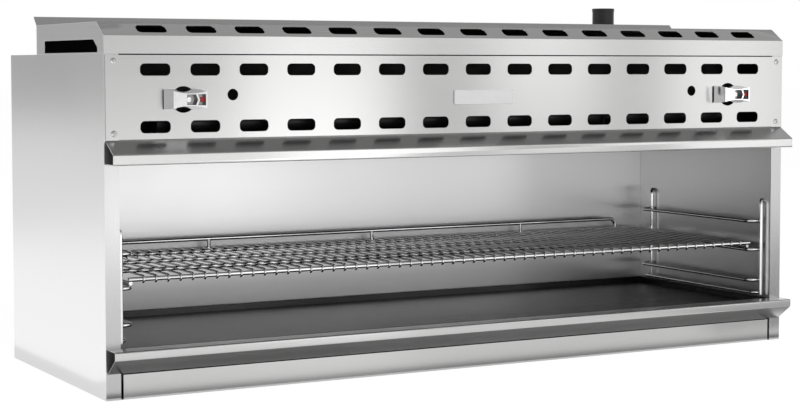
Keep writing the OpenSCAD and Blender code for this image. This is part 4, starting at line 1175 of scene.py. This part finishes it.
@dataclass
class Studio:
    """The pale floor, the surround, the white screen behind the melter, the softboxes and the flags."""

    floor_half: float = 30.0
    front_level: float = 0.6
    back_level: float = 0.75
    front_zenith: float = 0.3
    back_zenith: float = 0.45
    zenith_rise: float = 0.8
    turn_half: float = 0.4
    screen_way: Point = (0.48, 0.877, 0.0)
    screen_rim: Span = (0.85, 0.95)
    floor_tone: float = 0.3
    floor_glow: float = 0.86
    mirrored_share: float = 0.83
    flags: tuple[Flag, ...] = (
        Flag("rear_flag", 0.9, ((-2.8, 2.6, 0.32), (-0.7, 2.6, 0.32), (-0.7, 2.6, 2.2), (-2.8, 2.6, 2.2))),
        Flag("front_mat", 0.6, ((0.55, -0.3, 0.002), (0.9, -1.6, 0.002), (2.6, -1.6, 0.002),
                                (2.6, -0.3, 0.002))),
        # The strip under the kick panel is a dark cloth that only metal sees: a painted shadow of the floor
        # under the bullnose.
        Flag("kick_mat", 0.4, ((-0.7, -0.238, 0.003), (0.75, -0.238, 0.003), (0.75, -0.2, 0.003),
                               (-0.7, -0.2, 0.003))),
    )
    softboxes: tuple[Softbox, ...] = (
        front_box("front_box_far_left", -0.115, 0.75, 0.96, 1.5, 0.05),
        front_box("low_box_left", 0.2, 0.14, 1.2, 0.28, 0.9, distance=1.98),
        Softbox("paint_fill", (-0.6, -3.6, 2.6), 3.0, 2.0, (0.0, 0.0, 0.4), 3.2, mirrored=False),
        front_box("front_box_left", 0.607, 0.75, 0.444, 1.5, 0.82),
        front_box("front_box_middle", 1.304, 0.9, 0.372, 1.2, 0.95),
        front_box("front_box_right", 1.97, 0.75, 0.49, 1.5, 0.88),
        Softbox("floor_bounce", (-1.33, 1.05, 0.01), 1.4, 2.3, (-1.33, 1.05, 1.0), 0.25),
    )

    def make(self) -> None:
        """Builds the studio."""
        bpy.context.scene.view_settings.view_transform = "Standard"
        self.surround()
        self.floor()
        for piece in (*self.flags, *self.softboxes):
            piece.make()

    @staticmethod
    def seen(graph: Graph, share: Any) -> Socket:
        """A mask of the rays from the camera, and of a share of those from metal and through glass."""
        rays = graph.add("ShaderNodeLightPath").outputs
        mirrored = graph.math("MAXIMUM", rays["Is Glossy Ray"], rays["Is Transmission Ray"])
        return graph.math("MAXIMUM", rays["Is Camera Ray"], graph.math("MULTIPLY", mirrored, share))

    def surround(self) -> None:
        """Makes the surround, darker overhead, with a white screen behind the melter."""
        world = bpy.data.worlds.new("surround")
        bpy.context.scene.world = world
        world.use_nodes = True
        graph = Graph(world.node_tree)
        way = graph.add("ShaderNodeTexCoord").outputs["Generated"]
        parts = graph.parts(way)
        behind = graph.spread(parts["Y"], -self.turn_half, self.turn_half)
        horizon = graph.ramp(behind, self.front_level, self.back_level)
        zenith = graph.ramp(behind, self.front_zenith, self.back_zenith)
        level = graph.spread(parts["Z"], 0.0, self.zenith_rise, horizon, zenith)
        nearness = graph.add("ShaderNodeVectorMath", {0: way, 1: self.screen_way}, operation="DOT_PRODUCT")
        screen = graph.spread(nearness.outputs["Value"], *self.screen_rim)
        shown = graph.blend(self.seen(graph, screen), graph.vector(level, level, level), WHITE)
        backdrop = world.node_tree.nodes["Background"]
        graph.feed(backdrop.inputs["Color"], shown)
        graph.feed(backdrop.inputs["Strength"], 1.0)

    def floor(self) -> None:
        """Lays the pale floor, which keeps the shadow."""
        paint = Paint("floor_paint")
        glow = paint.math("MULTIPLY", self.seen(paint, self.mirrored_share), self.floor_glow)
        paint.set(Base_Color=grey(self.floor_tone), Roughness=1.0, Specular_IOR_Level=0.0,
                  Emission_Color=WHITE, Emission_Strength=glow)
        half = self.floor_half
        sheet("floor", [(-half, -half, 0), (half, -half, 0), (half, half, 0), (-half, half, 0)], paint)


def finishes() -> list[Finish]:
    """The finishes that the melter wears."""
    return [
        BrushedSteel("sheet_steel"),
        BrushedSteel("panel_steel", (0.62, 0.62, 0.615), (0.55, 0.55, 0.548), roughness=0.22),
        BrushedSteel("hood_steel", roughness=0.26),
        BrushedSteel("side_steel", grey(0.8), grey(0.76), grain=Axis.Y, roughness=0.24, anisotropy=0.4),
        BrushedSteel("flange_steel", grey(0.62), grey(0.57), grain=Axis.Z, roughness=0.28),
        # A pale, rough finish for broken edges and sheet ends: a painted highlight along the folds.
        MouldedPlastic("fold_steel", grey(0.97), grey(0.92), 0.4, 0.25),
        BrushedSteel("trim_steel", roughness=0.2),
        BrushedSteel("liner_steel", grey(0.69), grey(0.65), gloss=Axis.Z, roughness=0.3,
                     grain_depth=0.0004 * MM),
        BrushedSteel("side_liner_steel", grey(0.76), grey(0.7), grain=Axis.Y, roughness=0.3,
                     anisotropy=0.3),
        BrushedSteel("pan_steel", grey(0.09), grey(0.06), roughness=0.26),
        # Near-black steel for inner and hidden faces, the hood's inside and the bullnose's open ends: soot
        # with painted shade.
        CastMetal("sooted_steel", (0.035, 0.034, 0.033), (0.014, 0.014, 0.013), 0.4, 0.6, 500.0, 0.03 * MM),
        # Brass coloured near black, for the valves.
        CastMetal("sooted_brass", (0.045, 0.042, 0.036), (0.018, 0.017, 0.015), 0.6, 0.4, 700.0, 0.02 * MM),
        HotSteel("burnt_steel", cool=(0.16, 0.15, 0.14), hot=(0.1, 0.08, 0.07), roughness=0.45),
        Plating("plated", grey(0.92), grey(0.8), roughness=0.18),
        Plating("lever_chrome", (0.94, 0.94, 0.95), (0.84, 0.84, 0.85), roughness=0.08),
        # Darker chrome for the lever's pocket: painted shade in the recess.
        Plating("lever_shade", grey(0.3), grey(0.2), roughness=0.2),
        # The rack's chrome gets a painted shade on its downward faces: a near-black underside colour.
        Plating("rack_chrome", grey(0.97), (0.86, 0.86, 0.87), painted_underside_shade=(0.06, 0.055, 0.05),
                roughness=0.08),
        Plating("aluminium", (0.75, 0.75, 0.76), (0.6, 0.6, 0.61), roughness=0.3),
        CastMetal("cast_iron", (0.09, 0.085, 0.08), (0.04, 0.035, 0.032), 0.7, 0.55),
        CastMetal("black_pipe", (0.035, 0.035, 0.036), grey(0.018), 0.3, 0.42, 1200.0, 0.05 * MM),
        CastMetal("brass", (0.72, 0.55, 0.28), (0.56, 0.4, 0.18), 1.0, 0.26, 700.0, 0.02 * MM),
        CastMetal("regulator_grey", (0.42, 0.43, 0.44), (0.34, 0.35, 0.36), 0.4, 0.5, 900.0, 0.08 * MM),
        PiercedCeramic("ceramic"),
        MineralWool("wool"),
        MouldedPlastic("red_plastic", (0.42, 0.018, 0.014), (0.3, 0.012, 0.01)),
        MouldedPlastic("badge", grey(0.97), grey(0.94), 0.4),
    ]


def main() -> None:
    """Builds the melter on its frame, piece by piece."""
    logging.basicConfig(level=logging.INFO, format="%(name)s: %(message)s", stream=sys.stdout)
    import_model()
    PhotoCamera().make()
    Studio().make()
    shop = Shop()
    shop.stock(*finishes())
    for assembly in (Cabinet(shop), Front(shop), Hood(shop), Burners(shop), GasTrain(shop),
                     ValveSet(shop, "left", Body.LEFT_VALVE), ValveSet(shop, "right", Body.RIGHT_VALVE),
                     SpillPan(shop), WireRack(shop)):
        assembly.make()
        LOG.info("%s is done", type(assembly).__name__)


if __name__ == "__main__":
    main()
